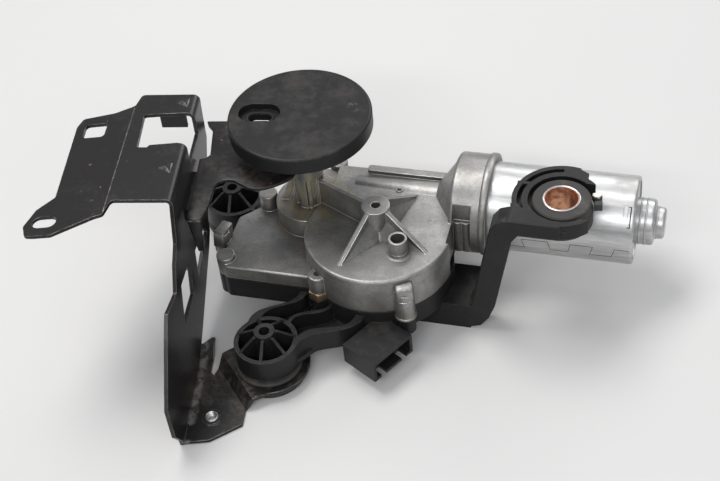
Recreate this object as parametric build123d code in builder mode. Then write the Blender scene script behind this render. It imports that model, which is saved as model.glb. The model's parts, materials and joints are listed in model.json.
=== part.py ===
from build123d import *
import os
from math import acos, asin, atan2, cos, degrees, hypot, pi, radians, sin, tan

# Rear-window wiper motor, in millimetres. The origin is on the output-shaft axis at the parting
# plane between the die-cast gear housing (above) and the moulded carrier (below). +X runs along
# the armature towards the motor's end cap, +Z along the output shaft towards the drive disc.

os.makedirs("parts", exist_ok=True)

# ---------------------------------------------------------------- driving dimensions: gear train
wheel_axis_x = 43.6           # axis of worm wheel and drive pinion
wheel_axis_y = -21.2
motor_axis_y = 16.0           # axis of the armature, parallel to X
motor_axis_z = 14.8
worm_pitch_radius = 5.2
worm_length = 26.0
wheel_teeth = 60
pinion_teeth = 24
sector_full_teeth = 54        # teeth that the sector would have as a whole wheel
swing = 55.0                  # output travel each way from mid-stroke, degrees
pressure_angle = radians(20)
worm_backlash = 0.36
spur_backlash = 0.30
wheel_face = 8.0
wheel_hub_radius = 10.0
wheel_web_thickness = 3.4
wheel_rim = 5.0
wheel_lightening_radius = 5.2
wheel_lightening_holes = 6
sector_thickness = 3.8
sector_hub_radius = 9.5
spare_teeth = 1.6             # teeth beyond the stroke at each end of the sector
axle_radius = 4.0
running_fit = 0.05
press_fit = 0.01
gear_clearance = 0.9          # free height between gears and the walls beside them

# ---------------------------------------------------------------- driving dimensions: gear housing
drum_radius = 40.1
drum_height = 22.0
cast_wall = 2.6
plate_height = 8.0
chamber_radius = 38.4         # low chamber in which the sector swings
plateau_radius = 20.0
plateau_height = 20.0
tower_radius = 8.3
tower_rib_top = 39.5
tower_height = 52.0
tower_band = 0.5
boss_radius = 7.6
boss_height = 40.0
boss_thread_radius = 2.5
tube_x = 58.8                 # open locating tube on the drum
tube_y = -37.0
tube_radius = 5.0
tube_bore_radius = 3.8
tube_height = 33.0
rib_thickness = 2.6
back_edge_y = 26.8
drum_fillet = 1.6
tunnel_radius = 8.2           # worm tunnel at its closed end
tunnel_neck_radius = 9.8      # and beside the motor flange
shoulder_start_x = 69.0       # cone that blends the tunnel into the motor flange
back_lip_start_x = 27.0       # raised lip along the back of the tunnel
back_lip_width = 4.6
back_lip_height = 2.6
edge_fillet = 1.2
boss_fillet = 0.8
collar_fillet = 2.4
tunnel_start_x = 10.0
tunnel_crown_x = 22.0
tunnel_bore_start = 14.0
tunnel_bore_radius = 7.0
tower_ribs = 10
tower_rib_width = 1.7
tower_core_radius = 7.5
flat_y = -5.6                 # flat on the front of the motor flange
flat_start_x = 81.5
flat_end_x = 91.6
flat_height = 36.0
flat_boss_radius = 3.2
flat_boss_top = 21.0
brush_chamber_radius = 18.4
collar_radius = 27.5          # round flange that takes the motor case
collar_start_x = 79.0
collar_length = 20.7
collar_wall = 2.6
screw_boss_radius = 5.2
screw_radius = 1.9
screw_head_radius = 3.6
screw_head_height = 2.2

# ---------------------------------------------------------------- driving dimensions: motor
case_radius = 24.0
case_wall = 2.0
case_end_x = 177.5
case_spigot = 7.5             # length of the case inside the collar
cap_step_radius = 12.5
cap_step_length = 9.7
cap_nose_radius = 8.5
cap_nose_length = 5.4
cap_wall = 1.5
shaft_radius = 3.9
bearing_length = 7.0
bearing_radius = 8.0
core_radius = 16.8
core_start_x = 112.0
core_length = 44.0
core_slots = 10
slot_width = 4.4
slot_mouth = 1.6
tooth_tip = 1.6
air_gap = 0.7
magnet_arc = 132.0
magnet_overhang = 4.0
winding_overhang = 8.5
commutator_radius = 8.0
commutator_length = 14.0
commutator_bars = 10
brush_width = 6.0
brush_thickness = 5.0
brush_length = 8.0
card_thickness = 2.5

# ---------------------------------------------------------------- driving dimensions: output
shaft_out_radius = 4.0
bush_wall = 1.9
bush_length = 11.0
disc_radius = 38.5
disc_top = 80.0
disc_thickness = 9.0
disc_skin = 3.0
disc_rim = 3.0
disc_hub_radius = 8.5
disc_hub_drop = 8.0           # how far the hub stands below the rim
disc_rib = 1.8
disc_ribs = 10
disc_edge_fillet = 1.4
slot_radius_from_axis = 21.7  # place of the driving slot on the disc
slot_bearing = 187.6
slot_length = 12.6
slot_breadth = 7.0
recess_length = 22.5
recess_breadth = 15.0
recess_depth = 4.0

# ---------------------------------------------------------------- driving dimensions: carrier
seal_thickness = 1.0
seal_width = 2.0
tray_bottom = -14.0
moulded_wall = 2.4
base_z = -29.0                # lowest plane of the whole assembly
mount_radius = 17.1           # ribbed bosses over the rubber dampers
mount_wall = 2.5
mount_top = -4.0
mount_bottom = -17.0
mount_hub_radius = 6.3
mount_hub_top = 3.0
mount_hole_radius = 2.95
mount_ribs = 7
front_mount = (-3.3, -86.7)
rear_mount = (-55.4, 18.9)
arm_face_y = -37.0            # front face of the offset arm
arm_depth = 12.0
ring_x = 141.3                # axis of the ring mount
ring_y = -14.9
ring_top = 53.0
ring_wall_radius = 20.6
ring_inner_radius = 17.4
ring_wall_height = 9.0
ring_web_thickness = 3.0
ring_drop = 4.0               # top of the ring down to its web
ring_neck_gap = 13.5          # half-width of the opening in the ring wall

# ---------------------------------------------------------------- driving dimensions: dampers
sleeve_radius = 9.45
sleeve_wall = 0.95
sleeve_length = 16.5
rubber_radius = 16.3
rubber_neck_radius = 12.6
rubber_fit = 0.2
lower_rubber_radius = 18.6
damper_upper_radius = 15.0
damper_neck_radius = 10.8
damper_lower_radius = 19.0
damper_sleeve_radius = 5.5
damper_bore_radius = 3.05
stud_radius = 2.85
stud_head_radius = 8.0
stud_head_height = 1.6

# ---------------------------------------------------------------- driving dimensions: connector
connector_x = 53.5
connector_y = -72.7
connector_angle = -30.3
connector_length = 22.9
connector_width = 28.7
connector_top = -8.0
connector_height = 13.0
connector_wall = 1.8
connector_depth = 17.0
latch_pitch = 15.0            # two slots in the floor of the mouth
latch_width = 3.6
latch_depth = 12.0
blade_width = 3.2
blade_thickness = 0.8
blade_pitch = 6.0
blades = 4

# ---------------------------------------------------------------- driving dimensions: bracket
bracket_turn = 9.5            # degrees about Z between motor and bracket
sheet = 2.0
bend_radius = 3.5
web_x = -56.7                 # inner face of the upright web, in the bracket's own axes
deck_z = 80.0                 # top face of the upper deck
crease_x = -90.0
wing_drop = 6.0               # degrees by which the wing slopes down
shelf_z = 57.0
plate_z = -21.7               # top of the arm that grips the front damper
foot_thread_radius = 2.55
foot_collar_radius = 5.2
foot_collar_height = 3.0

# ---------------------------------------------------------------- worked out from the above
worm_centres = motor_axis_y - wheel_axis_y
wheel_pitch_radius = worm_centres - worm_pitch_radius
wheel_module = 2 * wheel_pitch_radius / wheel_teeth
worm_pitch = pi * wheel_module
stage_centres = hypot(wheel_axis_x, wheel_axis_y)
stage_bearing = degrees(atan2(wheel_axis_y, wheel_axis_x))
spur_module = 2 * stage_centres / (pinion_teeth + sector_full_teeth)
wheel_bottom = motor_axis_z - wheel_face / 2
wheel_top = motor_axis_z + wheel_face / 2
drum_ceiling = drum_height - cast_wall
plate_ceiling = plate_height - cast_wall
sector_bottom = gear_clearance
sector_top = sector_bottom + sector_thickness
collar_end_x = collar_start_x + collar_length
case_start_x = collar_end_x - case_spigot
case_bore = case_radius - case_wall
cap_end_x = case_end_x + cap_step_length + cap_nose_length
disc_bottom = disc_top - disc_thickness
motor_axis = Plane(origin=(0, motor_axis_y, motor_axis_z), x_dir=(0, -1, 0), z_dir=(1, 0, 0))
wheel_axis = (wheel_axis_x, wheel_axis_y)
slot_place = Location((slot_radius_from_axis * cos(radians(slot_bearing)),
                       slot_radius_from_axis * sin(radians(slot_bearing))), slot_bearing)


def motor_plane(x):
    """Plane across the armature axis at x."""
    return motor_axis.offset(x)


def involute(angle):
    return tan(angle) - angle


def gear_outline(teeth, module, thinning, turn=0.0):
    """Corner points of a whole spur gear whose first tooth points at the angle turn, in degrees."""
    pitch_radius = module * teeth / 2
    base_radius = pitch_radius * cos(pressure_angle)
    root_radius = pitch_radius - 1.25 * module
    tip_radius = pitch_radius + 0.95 * module
    lowest_flank = max(base_radius, root_radius) * 1.001
    stations = [root_radius, lowest_flank, (lowest_flank + tip_radius) / 2, tip_radius]
    at_pitch = (pi * module / 2 - thinning) / (2 * pitch_radius) + involute(pressure_angle)
    half_angles = []
    for radius in stations:
        flank_angle = acos(min(1.0, base_radius / max(radius, lowest_flank)))
        half_angles.append(at_pitch - involute(flank_angle))
    points = []
    for tooth in range(teeth):
        centre = radians(turn) + 2 * pi * tooth / teeth
        for radius, half in zip(stations, half_angles):
            points.append((radius * cos(centre - half), radius * sin(centre - half)))
        for radius, half in zip(reversed(stations), reversed(half_angles)):
            points.append((radius * cos(centre + half), radius * sin(centre + half)))
    return points


def upright_plane(place, bearing):
    """Vertical plane through place: its X runs outwards at the bearing and its Y runs up."""
    turn = radians(bearing)
    return Plane(origin=(place[0], place[1], 0), x_dir=(cos(turn), sin(turn), 0),
                 z_dir=(sin(turn), -cos(turn), 0))


# ================================================================ footprint shared by housing, seal
# and carrier: left plate, low chamber, drum and the block along the worm tunnel
plate_points = [(-36.5, -49.4), (30.0, -49.4), (30.0, 20.0), (-8.0, 20.0), (-29.0, 3.0),
                (-41.0, -9.5), (-41.0, -45.5)]
chamber_cut = [(-52.0, -20.0), (-41.0, -9.5), (-29.0, 3.0), (-5.35, 40.84), (-60.0, 60.0)]
screw_places = [(17.0, -51.5), (65.5, -56.0), (-38.0, -42.5), (-26.3, 2.2), (4.0, 41.0),
                (70.0, 29.5)]

with BuildSketch() as plate_outline:
    Circle(chamber_radius)
    with BuildLine():
        Polyline(*chamber_cut, close=True)
    make_face(mode=Mode.SUBTRACT)
    with BuildLine():
        Polyline(*plate_points, close=True)
    make_face()
    fillet(vertices().group_by(Axis.X)[0] + vertices().group_by(Axis.X)[1], radius=3.0)

with BuildSketch() as footprint:
    add(plate_outline.sketch)
    with Locations(wheel_axis):
        Circle(drum_radius)
    with Locations(((collar_start_x + 5) / 2, back_edge_y / 2)):
        Rectangle(collar_start_x - 5, back_edge_y)
    with Locations(*screw_places):
        Circle(screw_boss_radius)

with BuildSketch() as cavity_outline:
    Circle(chamber_radius - cast_wall)
    with BuildLine():
        Polyline(*chamber_cut, close=True)
        offset(amount=cast_wall, kind=Kind.INTERSECTION, mode=Mode.REPLACE)
    make_face(mode=Mode.SUBTRACT)
    with BuildLine():
        Polyline(*plate_points, close=True)
        offset(amount=-cast_wall, kind=Kind.INTERSECTION, mode=Mode.REPLACE)
    make_face()
    with Locations(wheel_axis):
        Circle(drum_radius - cast_wall)
    with Locations(*screw_places):
        Circle(screw_boss_radius - 0.5, mode=Mode.SUBTRACT)


# ================================================================ gear housing, one die casting
plate_boss_tops = [14.0, 14.0, 11.0, 18.0, 12.0, 12.0]
gussets = [(-115.0, 33.6), (-23.5, 33.6), (64.3, 34.6)]
outer_stop = (-44.0, -29.0)
outer_stop_radius = 4.0
outer_stop_top = 14.0
screw_tip = 9.0
thread_end = 9.6

with BuildPart() as collar_body:
    with BuildSketch(motor_plane(collar_start_x)):
        Circle(collar_radius)
    extrude(amount=collar_length)
    collar_edges = edges().filter_by(GeomType.CIRCLE).sort_by(Axis.X)
    fillet(collar_edges[0], radius=collar_fillet)
    fillet(edges().filter_by(GeomType.CIRCLE).sort_by(Axis.X)[-1], radius=boss_fillet)

with BuildPart() as gear_housing:
    with BuildSketch():
        add(plate_outline.sketch)
    extrude(amount=plate_height)
    plate_edges = edges().group_by(Axis.Z)[-1]
    fillet(plate_edges, radius=edge_fillet)
    with BuildSketch():
        with Locations(outer_stop, *screw_places):
            Circle(outer_stop_radius)
        with Locations(outer_stop):
            Rectangle(2 * outer_stop_radius + 2, outer_stop_radius)
    extrude(amount=plate_height - edge_fillet)
    with BuildSketch():
        with Locations(wheel_axis):
            Circle(drum_radius)
    extrude(amount=drum_height)
    rim_edges = edges().filter_by(GeomType.CIRCLE).group_by(Axis.Z)[-1]
    fillet(rim_edges, radius=drum_fillet)
    with BuildSketch():
        with Locations(((collar_start_x + tunnel_start_x) / 2, back_edge_y / 2)):
            Rectangle(collar_start_x - tunnel_start_x, back_edge_y)
    extrude(amount=drum_height)
    with BuildSketch():
        with Locations(((collar_start_x + back_lip_start_x) / 2, back_edge_y - back_lip_width / 2)):
            RectangleRounded(collar_start_x - back_lip_start_x, back_lip_width, back_lip_width / 3)
    extrude(amount=drum_height + back_lip_height)
    # plateau and ribbed tower round the output shaft
    with BuildSketch():
        Circle(plateau_radius)
    extrude(amount=plateau_height, taper=1.5)
    with BuildSketch():
        Circle(tower_core_radius)
    extrude(amount=tower_height)
    with BuildSketch():
        Circle(tower_core_radius)
        with PolarLocations(tower_radius - 1, tower_ribs):
            Rectangle(2 * 1.3, tower_rib_width)
        with PolarLocations(tower_radius - 1, 1, start_angle=-95):
            Rectangle(2 * 1.5, 2 * tower_rib_width)
    extrude(amount=tower_rib_top)
    with BuildSketch(Plane.XY.offset(tower_rib_top)):
        Circle(tower_radius + tower_band)
    extrude(amount=6.5)
    with BuildSketch(upright_plane((0, 0), 190)):
        with BuildLine():
            Polyline((17.0, plateau_height - 1), (12.2, plateau_height - 1), (6.8, 35.0),
                     (6.8, 41.0), (8.6, 41.0), close=True)
        make_face()
    extrude(amount=rib_thickness / 2, both=True)
    # bosses on the plate for the carrier screws
    for place, top in zip(screw_places, plate_boss_tops):
        with BuildSketch():
            with Locations(place):
                Circle(screw_boss_radius)
        extrude(amount=top)
        fillet(edges().filter_by(GeomType.CIRCLE).filter_by(
            lambda edge: abs(edge.center().Z - top) < 0.01
            and abs(edge.radius - screw_boss_radius) < 0.01), radius=boss_fillet)
    with BuildSketch():
        with Locations(outer_stop):
            Circle(outer_stop_radius)
    extrude(amount=outer_stop_top)
    # centre boss with its gussets and the web to the tower
    with BuildSketch():
        with Locations(wheel_axis):
            Circle(boss_radius)
    extrude(amount=boss_height)
    for bearing, reach in gussets:
        with BuildSketch(upright_plane(wheel_axis, bearing)):
            with BuildLine():
                Polyline((0, drum_ceiling + 1), (0, boss_height - 1), (boss_radius, boss_height - 1),
                         (reach, drum_height - 0.5), (reach, drum_ceiling + 1), close=True)
            make_face()
        extrude(amount=rib_thickness / 2, both=True)
    with BuildSketch(upright_plane((0, 0), stage_bearing)):
        with BuildLine():
            Polyline((0, plateau_height - 2), (0, 37.0), (stage_centres, boss_height - 1),
                     (stage_centres, plateau_height - 2), close=True)
        make_face()
    extrude(amount=rib_thickness / 2, both=True)
    # open locating tube
    with BuildSketch():
        with Locations((tube_x, tube_y)):
            Circle(tube_radius)
    extrude(amount=tube_height)
    # worm tunnel and motor flange
    with BuildSketch(motor_plane(tunnel_crown_x)):
        Circle(tunnel_radius)
    with BuildSketch(motor_plane(collar_start_x + 1)):
        Circle(tunnel_neck_radius)
    loft()
    with BuildSketch(motor_plane(shoulder_start_x)):
        Circle(tunnel_neck_radius)
    with BuildSketch(motor_plane(collar_start_x + 0.6)):
        Circle(collar_radius - 2.4)
    loft()
    with BuildSketch(Plane.XY.offset(-2 * collar_radius)):
        with Locations((shoulder_start_x, motor_axis_y)):
            Rectangle(2 * (collar_start_x - shoulder_start_x), 3 * collar_radius)
    extrude(amount=2 * collar_radius, mode=Mode.SUBTRACT)
    add(collar_body.part)
    # gear spaces
    with BuildSketch():
        add(cavity_outline.sketch)
    extrude(amount=plate_ceiling, mode=Mode.SUBTRACT)
    with BuildSketch(Plane.XY.offset(plate_ceiling - 1)):
        with Locations(wheel_axis):
            Circle(drum_radius - cast_wall - 0.4)
    extrude(amount=drum_ceiling - plate_ceiling + 1, mode=Mode.SUBTRACT)
    with BuildSketch(Plane.XY.offset(plate_ceiling - 1)):
        Circle(plateau_radius - cast_wall - 0.5)
        Circle(shaft_out_radius + bush_wall + cast_wall + 1, mode=Mode.SUBTRACT)
        with Locations(wheel_axis):
            Circle(drum_radius, mode=Mode.SUBTRACT)
        with Locations((tunnel_start_x + 15, back_edge_y / 2)):
            Rectangle(30, back_edge_y + 4, mode=Mode.SUBTRACT)
        with Locations((-26.3, 2.2)):
            Circle(screw_boss_radius, mode=Mode.SUBTRACT)
    extrude(amount=plateau_height - plate_ceiling + 1 - cast_wall, mode=Mode.SUBTRACT)
    with BuildSketch():
        with Locations((tube_x, tube_y)):
            Circle(tube_bore_radius)
    extrude(amount=tube_height, mode=Mode.SUBTRACT)
    # fixed axle, output bushes, thread in the centre boss, screw holes
    with BuildSketch():
        with Locations(wheel_axis):
            Circle(axle_radius + press_fit)
    extrude(amount=drum_height + 6, mode=Mode.SUBTRACT)
    with BuildSketch(Plane.XY.offset(drum_height + 8)):
        with Locations(wheel_axis):
            Circle(boss_thread_radius)
    extrude(amount=boss_height, mode=Mode.SUBTRACT)
    with BuildSketch():
        Circle(shaft_out_radius + bush_wall + press_fit)
    extrude(amount=tower_height, mode=Mode.SUBTRACT)
    with BuildSketch():
        with Locations(*screw_places):
            Circle(screw_radius + press_fit)
    extrude(amount=thread_end, mode=Mode.SUBTRACT)
    # worm bore, bearing seat, brush chamber and the seat of the motor case
    with BuildSketch(motor_plane(tunnel_bore_start)):
        Circle(tunnel_bore_radius)
    extrude(amount=collar_start_x - tunnel_bore_start, mode=Mode.SUBTRACT)
    with BuildSketch(motor_plane(collar_start_x + cast_wall - bearing_length)):
        Circle(bearing_radius + press_fit)
    extrude(amount=bearing_length, mode=Mode.SUBTRACT)
    with BuildSketch(motor_plane(collar_start_x + cast_wall)):
        Circle(brush_chamber_radius)
    extrude(amount=collar_length, mode=Mode.SUBTRACT)
    with BuildSketch(motor_plane(case_start_x)):
        Circle(case_radius + running_fit)
    extrude(amount=collar_length, mode=Mode.SUBTRACT)
    # flat on the front of the flange with two half-round bosses
    with BuildSketch():
        with Locations(((flat_start_x + flat_end_x) / 2, flat_y - 10)):
            Rectangle(flat_end_x - flat_start_x, 20)
    extrude(amount=flat_height, mode=Mode.SUBTRACT)
    with BuildSketch():
        with Locations((flat_start_x + 2.6, flat_y + 0.4), (flat_end_x - 2.9, flat_y + 0.4)):
            Circle(flat_boss_radius)
        with Locations((0, flat_y + 20 + 1.2)):
            Rectangle(400, 40, mode=Mode.SUBTRACT)
    extrude(amount=flat_boss_top)
gear_housing.part.label = "gear_housing"
export_step(gear_housing.part, "parts/gear_housing.step")


# ================================================================ motor case, field and end cap
with BuildPart() as motor_yoke:
    with BuildSketch(motor_plane(case_start_x)):
        Circle(case_radius)
        Circle(case_bore, mode=Mode.SUBTRACT)
    extrude(amount=case_end_x - case_start_x)
    rear_edge = edges().filter_by(GeomType.CIRCLE).group_by(Axis.X)[-1].sort_by(Edge.length)[-1]
    fillet(rear_edge, radius=1.4)
    # crimp windows for the end cap and the dovetail seam of the rolled tube
    with BuildSketch(motor_plane(case_end_x - 6.0)):
        with PolarLocations(case_radius, 4, start_angle=38):
            Rectangle(5.0, 7.0)
    extrude(amount=2.2, mode=Mode.SUBTRACT)
motor_yoke.part.label = "motor_yoke"
export_step(motor_yoke.part, "parts/motor_yoke.step")

with BuildPart() as motor_end_cap:
    with BuildSketch(motor_plane(case_end_x - 3.0)):
        Circle(case_bore - running_fit)
    extrude(amount=2.2)
    with BuildSketch(motor_plane(case_end_x - 1.0)):
        Circle(cap_step_radius)
    extrude(amount=cap_step_length + 1.0)
    with BuildSketch(motor_plane(case_end_x + cap_step_length - 1.0)):
        Circle(cap_nose_radius)
    extrude(amount=cap_nose_length + 1.0)
    outer_edges = edges().filter_by(GeomType.CIRCLE).filter_by(
        lambda edge: edge.center().X > case_end_x + 1)
    fillet(outer_edges, radius=1.8)
    with BuildSketch(motor_plane(case_end_x - 3.0)):
        Circle(cap_step_radius - cap_wall)
    extrude(amount=3.0 + cap_step_length - cap_wall, mode=Mode.SUBTRACT)
    with BuildSketch(motor_plane(case_end_x)):
        Circle(cap_nose_radius - cap_wall)
    extrude(amount=cap_step_length + cap_nose_length - cap_wall, mode=Mode.SUBTRACT)
motor_end_cap.part.label = "motor_end_cap"
export_step(motor_end_cap.part, "parts/motor_end_cap.step")

core_end_x = core_start_x + core_length
magnet_start_x = core_start_x - magnet_overhang
magnet_length = core_length + 2 * magnet_overhang

with BuildPart() as field_magnets:
    with BuildSketch(motor_plane(magnet_start_x)):
        Circle(case_bore - running_fit)
        Circle(core_radius + air_gap, mode=Mode.SUBTRACT)
        with BuildLine():
            half_gap = radians(90 - magnet_arc / 2)
            far = 2 * case_radius
            Polyline((0, 0), (far, far * tan(half_gap)), (far, -far * tan(half_gap)), close=True)
        make_face(mode=Mode.SUBTRACT)
        with BuildLine():
            Polyline((0, 0), (-far, far * tan(half_gap)), (-far, -far * tan(half_gap)), close=True)
        make_face(mode=Mode.SUBTRACT)
    extrude(amount=magnet_length)
field_magnets.part.label = "field_magnets"
export_step(field_magnets.part, "parts/field_magnets.step")

# ================================================================ armature
slot_inner_radius = 7.6
slot_outer_radius = core_radius - tooth_tip

with BuildPart() as armature_core:
    with BuildSketch(motor_plane(core_start_x)):
        Circle(core_radius)
        Circle(shaft_radius + press_fit, mode=Mode.SUBTRACT)
        with PolarLocations(0, core_slots):
            with Locations(((core_radius + slot_inner_radius) / 2 + 1, 0)):
                Rectangle(core_radius - slot_inner_radius, slot_mouth, mode=Mode.SUBTRACT)
            with BuildLine(mode=Mode.PRIVATE) as slot_edge:
                Polyline((slot_inner_radius, -slot_mouth / 2), (slot_outer_radius - 1, -slot_width / 2),
                         (slot_outer_radius, -slot_width / 2), (slot_outer_radius, slot_width / 2),
                         (slot_outer_radius - 1, slot_width / 2), (slot_inner_radius, slot_mouth / 2),
                         close=True)
            add(make_face(slot_edge.edges(), mode=Mode.PRIVATE), mode=Mode.SUBTRACT)
    extrude(amount=core_length)
armature_core.part.label = "armature_core"
export_step(armature_core.part, "parts/armature_core.step")

winding_inner = slot_inner_radius + 1.2
winding_outer = slot_outer_radius - 0.4
with BuildPart() as armature_windings:
    for start_x in (core_start_x - winding_overhang, core_end_x):
        with BuildSketch(motor_plane(start_x)):
            Circle(winding_outer)
            Circle(shaft_radius + 1.2, mode=Mode.SUBTRACT)
        extrude(amount=winding_overhang)
    with BuildSketch(motor_plane(core_start_x - 1)):
        with PolarLocations((winding_inner + winding_outer) / 2, core_slots):
            Rectangle(winding_outer - winding_inner, 1.2)
    extrude(amount=core_length + 2)
    end_edges = edges().filter_by(GeomType.CIRCLE).filter_by(
        lambda edge: abs(edge.radius - winding_outer) < 0.01)
    outer_ends = end_edges.group_by(Axis.X)[0] + end_edges.group_by(Axis.X)[-1]
    fillet(outer_ends, radius=2.5)
armature_windings.part.label = "armature_windings"
export_step(armature_windings.part, "parts/armature_windings.step")

commutator_start_x = core_start_x - winding_overhang - commutator_length - 2
with BuildPart() as commutator:
    with BuildSketch(motor_plane(commutator_start_x)):
        Circle(commutator_radius)
        Circle(shaft_radius + press_fit, mode=Mode.SUBTRACT)
        with PolarLocations(commutator_radius, commutator_bars):
            Rectangle(2.4, 0.6, mode=Mode.SUBTRACT)
    extrude(amount=commutator_length)
commutator.part.label = "commutator"
export_step(commutator.part, "parts/commutator.step")

worm_root_radius = worm_pitch_radius - 1.25 * wheel_module
worm_tip_radius = worm_pitch_radius + wheel_module
half_pitches = 2 * round((worm_length / worm_pitch - 1) / 2) + 1
worm_start_x = wheel_axis_x - half_pitches * worm_pitch / 2
worm_axis = motor_plane(worm_start_x)
half_space = worm_pitch / 4 - worm_backlash / 2
root_half = half_space + 1.25 * wheel_module * tan(pressure_angle)
tip_half = half_space - wheel_module * tan(pressure_angle)
shaft_start_x = 20.0
shaft_end_x = case_end_x + cap_step_length + 1.5

# thread of the worm, standing on its own axis
with BuildLine() as worm_path:
    Helix(pitch=worm_pitch, height=half_pitches * worm_pitch, radius=worm_root_radius)

with BuildPart() as worm_thread:
    with BuildSketch(Plane(origin=(0, 0, 0), x_dir=(1, 0, 0), z_dir=(0, -1, 0))):
        with BuildLine():
            Polyline((worm_root_radius - 0.3, -root_half), (worm_tip_radius, -tip_half),
                     (worm_tip_radius, tip_half), (worm_root_radius - 0.3, root_half), close=True)
        make_face()
    sweep(path=worm_path.line, is_frenet=True)

with BuildPart() as armature_shaft:
    with Locations(worm_axis.location):
        add(worm_thread.part)
    with BuildSketch(motor_plane(shaft_start_x)):
        Circle(worm_root_radius)
    extrude(amount=shaft_end_x - shaft_start_x)
armature_shaft.part.label = "armature_shaft"
export_step(armature_shaft.part, "parts/armature_shaft.step")

bearing_bore = worm_root_radius + running_fit
with BuildPart() as front_bearing:
    with BuildSketch(motor_plane(collar_start_x + cast_wall - bearing_length)):
        Circle(bearing_radius)
        Circle(bearing_bore, mode=Mode.SUBTRACT)
    extrude(amount=bearing_length)
front_bearing.part.label = "front_bearing"
export_step(front_bearing.part, "parts/front_bearing.step")

rear_bearing_start_x = case_end_x + cap_step_length - 2.6
with BuildPart() as rear_bearing:
    with BuildSketch(motor_plane(rear_bearing_start_x)):
        Circle(cap_nose_radius - cap_wall - press_fit)
        Circle(bearing_bore, mode=Mode.SUBTRACT)
    extrude(amount=cap_nose_length)
rear_bearing.part.label = "rear_bearing"
export_step(rear_bearing.part, "parts/rear_bearing.step")

with BuildPart() as thrust_pad:
    with BuildSketch(motor_plane(tunnel_bore_start)):
        Circle(tunnel_bore_radius - press_fit)
    extrude(amount=3.0)
    with BuildSketch(motor_plane(tunnel_bore_start)):
        Circle(2.4)
    extrude(amount=shaft_start_x - tunnel_bore_start - running_fit)
thrust_pad.part.label = "thrust_pad"
export_step(thrust_pad.part, "parts/thrust_pad.step")

# ================================================================ brush gear
card_x = collar_start_x + cast_wall + 2.0
brush_x = card_x + card_thickness + 3.4
brush_start = commutator_radius + running_fit
brush_end = brush_start + brush_length

with BuildPart() as brush_holder:
    with BuildSketch(motor_plane(card_x)):
        Circle(brush_chamber_radius - press_fit)
        Circle(commutator_radius + 1.2, mode=Mode.SUBTRACT)
    extrude(amount=card_thickness)
    with Locations((brush_x, motor_axis_y, motor_axis_z)):
        Box(brush_width + 2.4, brush_thickness + 2.4, 2 * (brush_chamber_radius - 1.6))
        Box(brush_width + 0.1, brush_thickness + 0.1, 4 * case_radius, mode=Mode.SUBTRACT)
        Cylinder(commutator_radius + 1.2, 3 * brush_width, rotation=(0, 90, 0), mode=Mode.SUBTRACT)
brush_holder.part.label = "brush_holder"
export_step(brush_holder.part, "parts/brush_holder.step")

with BuildPart() as carbon_brushes:
    with Locations((brush_x, motor_axis_y, motor_axis_z)):
        Box(brush_width, brush_thickness, 2 * brush_end)
        Cylinder(brush_start, 3 * brush_width, rotation=(0, 90, 0), mode=Mode.SUBTRACT)
carbon_brushes.part.label = "carbon_brushes"
export_step(carbon_brushes.part, "parts/carbon_brushes.step")

# ================================================================ worm wheel and drive pinion
sleeve_outer = 6.4
wheel_twist = degrees(wheel_face / 2 / wheel_pitch_radius * worm_pitch / (2 * pi * worm_pitch_radius))
with BuildPart() as worm_wheel:
    with BuildSketch(Plane((wheel_axis_x, wheel_axis_y, wheel_bottom))):
        with BuildLine():
            Polyline(*gear_outline(wheel_teeth, wheel_module, worm_backlash, 90 - wheel_twist),
                     close=True)
        make_face()
    with BuildSketch(Plane((wheel_axis_x, wheel_axis_y, wheel_top))):
        with BuildLine():
            Polyline(*gear_outline(wheel_teeth, wheel_module, worm_backlash, 90 + wheel_twist),
                     close=True)
        make_face()
    loft(ruled=True)
    rim_inner = wheel_pitch_radius - 1.25 * wheel_module - wheel_rim
    web_recess = (wheel_face - wheel_web_thickness) / 2
    for floor_z in (wheel_bottom, wheel_top - web_recess):
        with BuildSketch(Plane((wheel_axis_x, wheel_axis_y, floor_z))):
            Circle(rim_inner)
            Circle(wheel_hub_radius, mode=Mode.SUBTRACT)
        extrude(amount=web_recess, mode=Mode.SUBTRACT)
    with BuildSketch(Plane((wheel_axis_x, wheel_axis_y, wheel_bottom))):
        Circle(sleeve_outer + press_fit)
        with PolarLocations((rim_inner + wheel_hub_radius) / 2, wheel_lightening_holes):
            Circle(wheel_lightening_radius - 1)
    extrude(amount=wheel_face, mode=Mode.SUBTRACT)
worm_wheel.part.label = "worm_wheel"
export_step(worm_wheel.part, "parts/worm_wheel.step")

pinion_turn = stage_bearing + 180 + 180 / pinion_teeth
pinion_face_top = sector_top + 1.6
with BuildPart() as drive_pinion:
    with BuildSketch(Plane((wheel_axis_x, wheel_axis_y, sector_bottom))):
        with BuildLine():
            Polyline(*gear_outline(pinion_teeth, spur_module, spur_backlash, pinion_turn),
                     close=True)
        make_face()
    extrude(amount=pinion_face_top - sector_bottom)
    with BuildSketch(Plane((wheel_axis_x, wheel_axis_y, pinion_face_top))):
        Circle(wheel_hub_radius)
    extrude(amount=wheel_bottom - pinion_face_top)
    with BuildSketch(Plane((wheel_axis_x, wheel_axis_y, wheel_bottom))):
        Circle(sleeve_outer)
    extrude(amount=wheel_face)
    with BuildSketch(Plane((wheel_axis_x, wheel_axis_y, 0))):
        Circle(axle_radius + running_fit)
    extrude(amount=drum_height, mode=Mode.SUBTRACT)
drive_pinion.part.label = "drive_pinion"
export_step(drive_pinion.part, "parts/drive_pinion.step")

with BuildPart() as wheel_axle:
    with BuildSketch(Plane((wheel_axis_x, wheel_axis_y, 0.1))):
        Circle(axle_radius + 2.2)
    extrude(amount=sector_bottom - 0.1 - running_fit)
    with BuildSketch(Plane((wheel_axis_x, wheel_axis_y, 0.1))):
        Circle(axle_radius)
    extrude(amount=drum_height + 5.5)
wheel_axle.part.label = "wheel_axle"
export_step(wheel_axle.part, "parts/wheel_axle.step")

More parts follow.
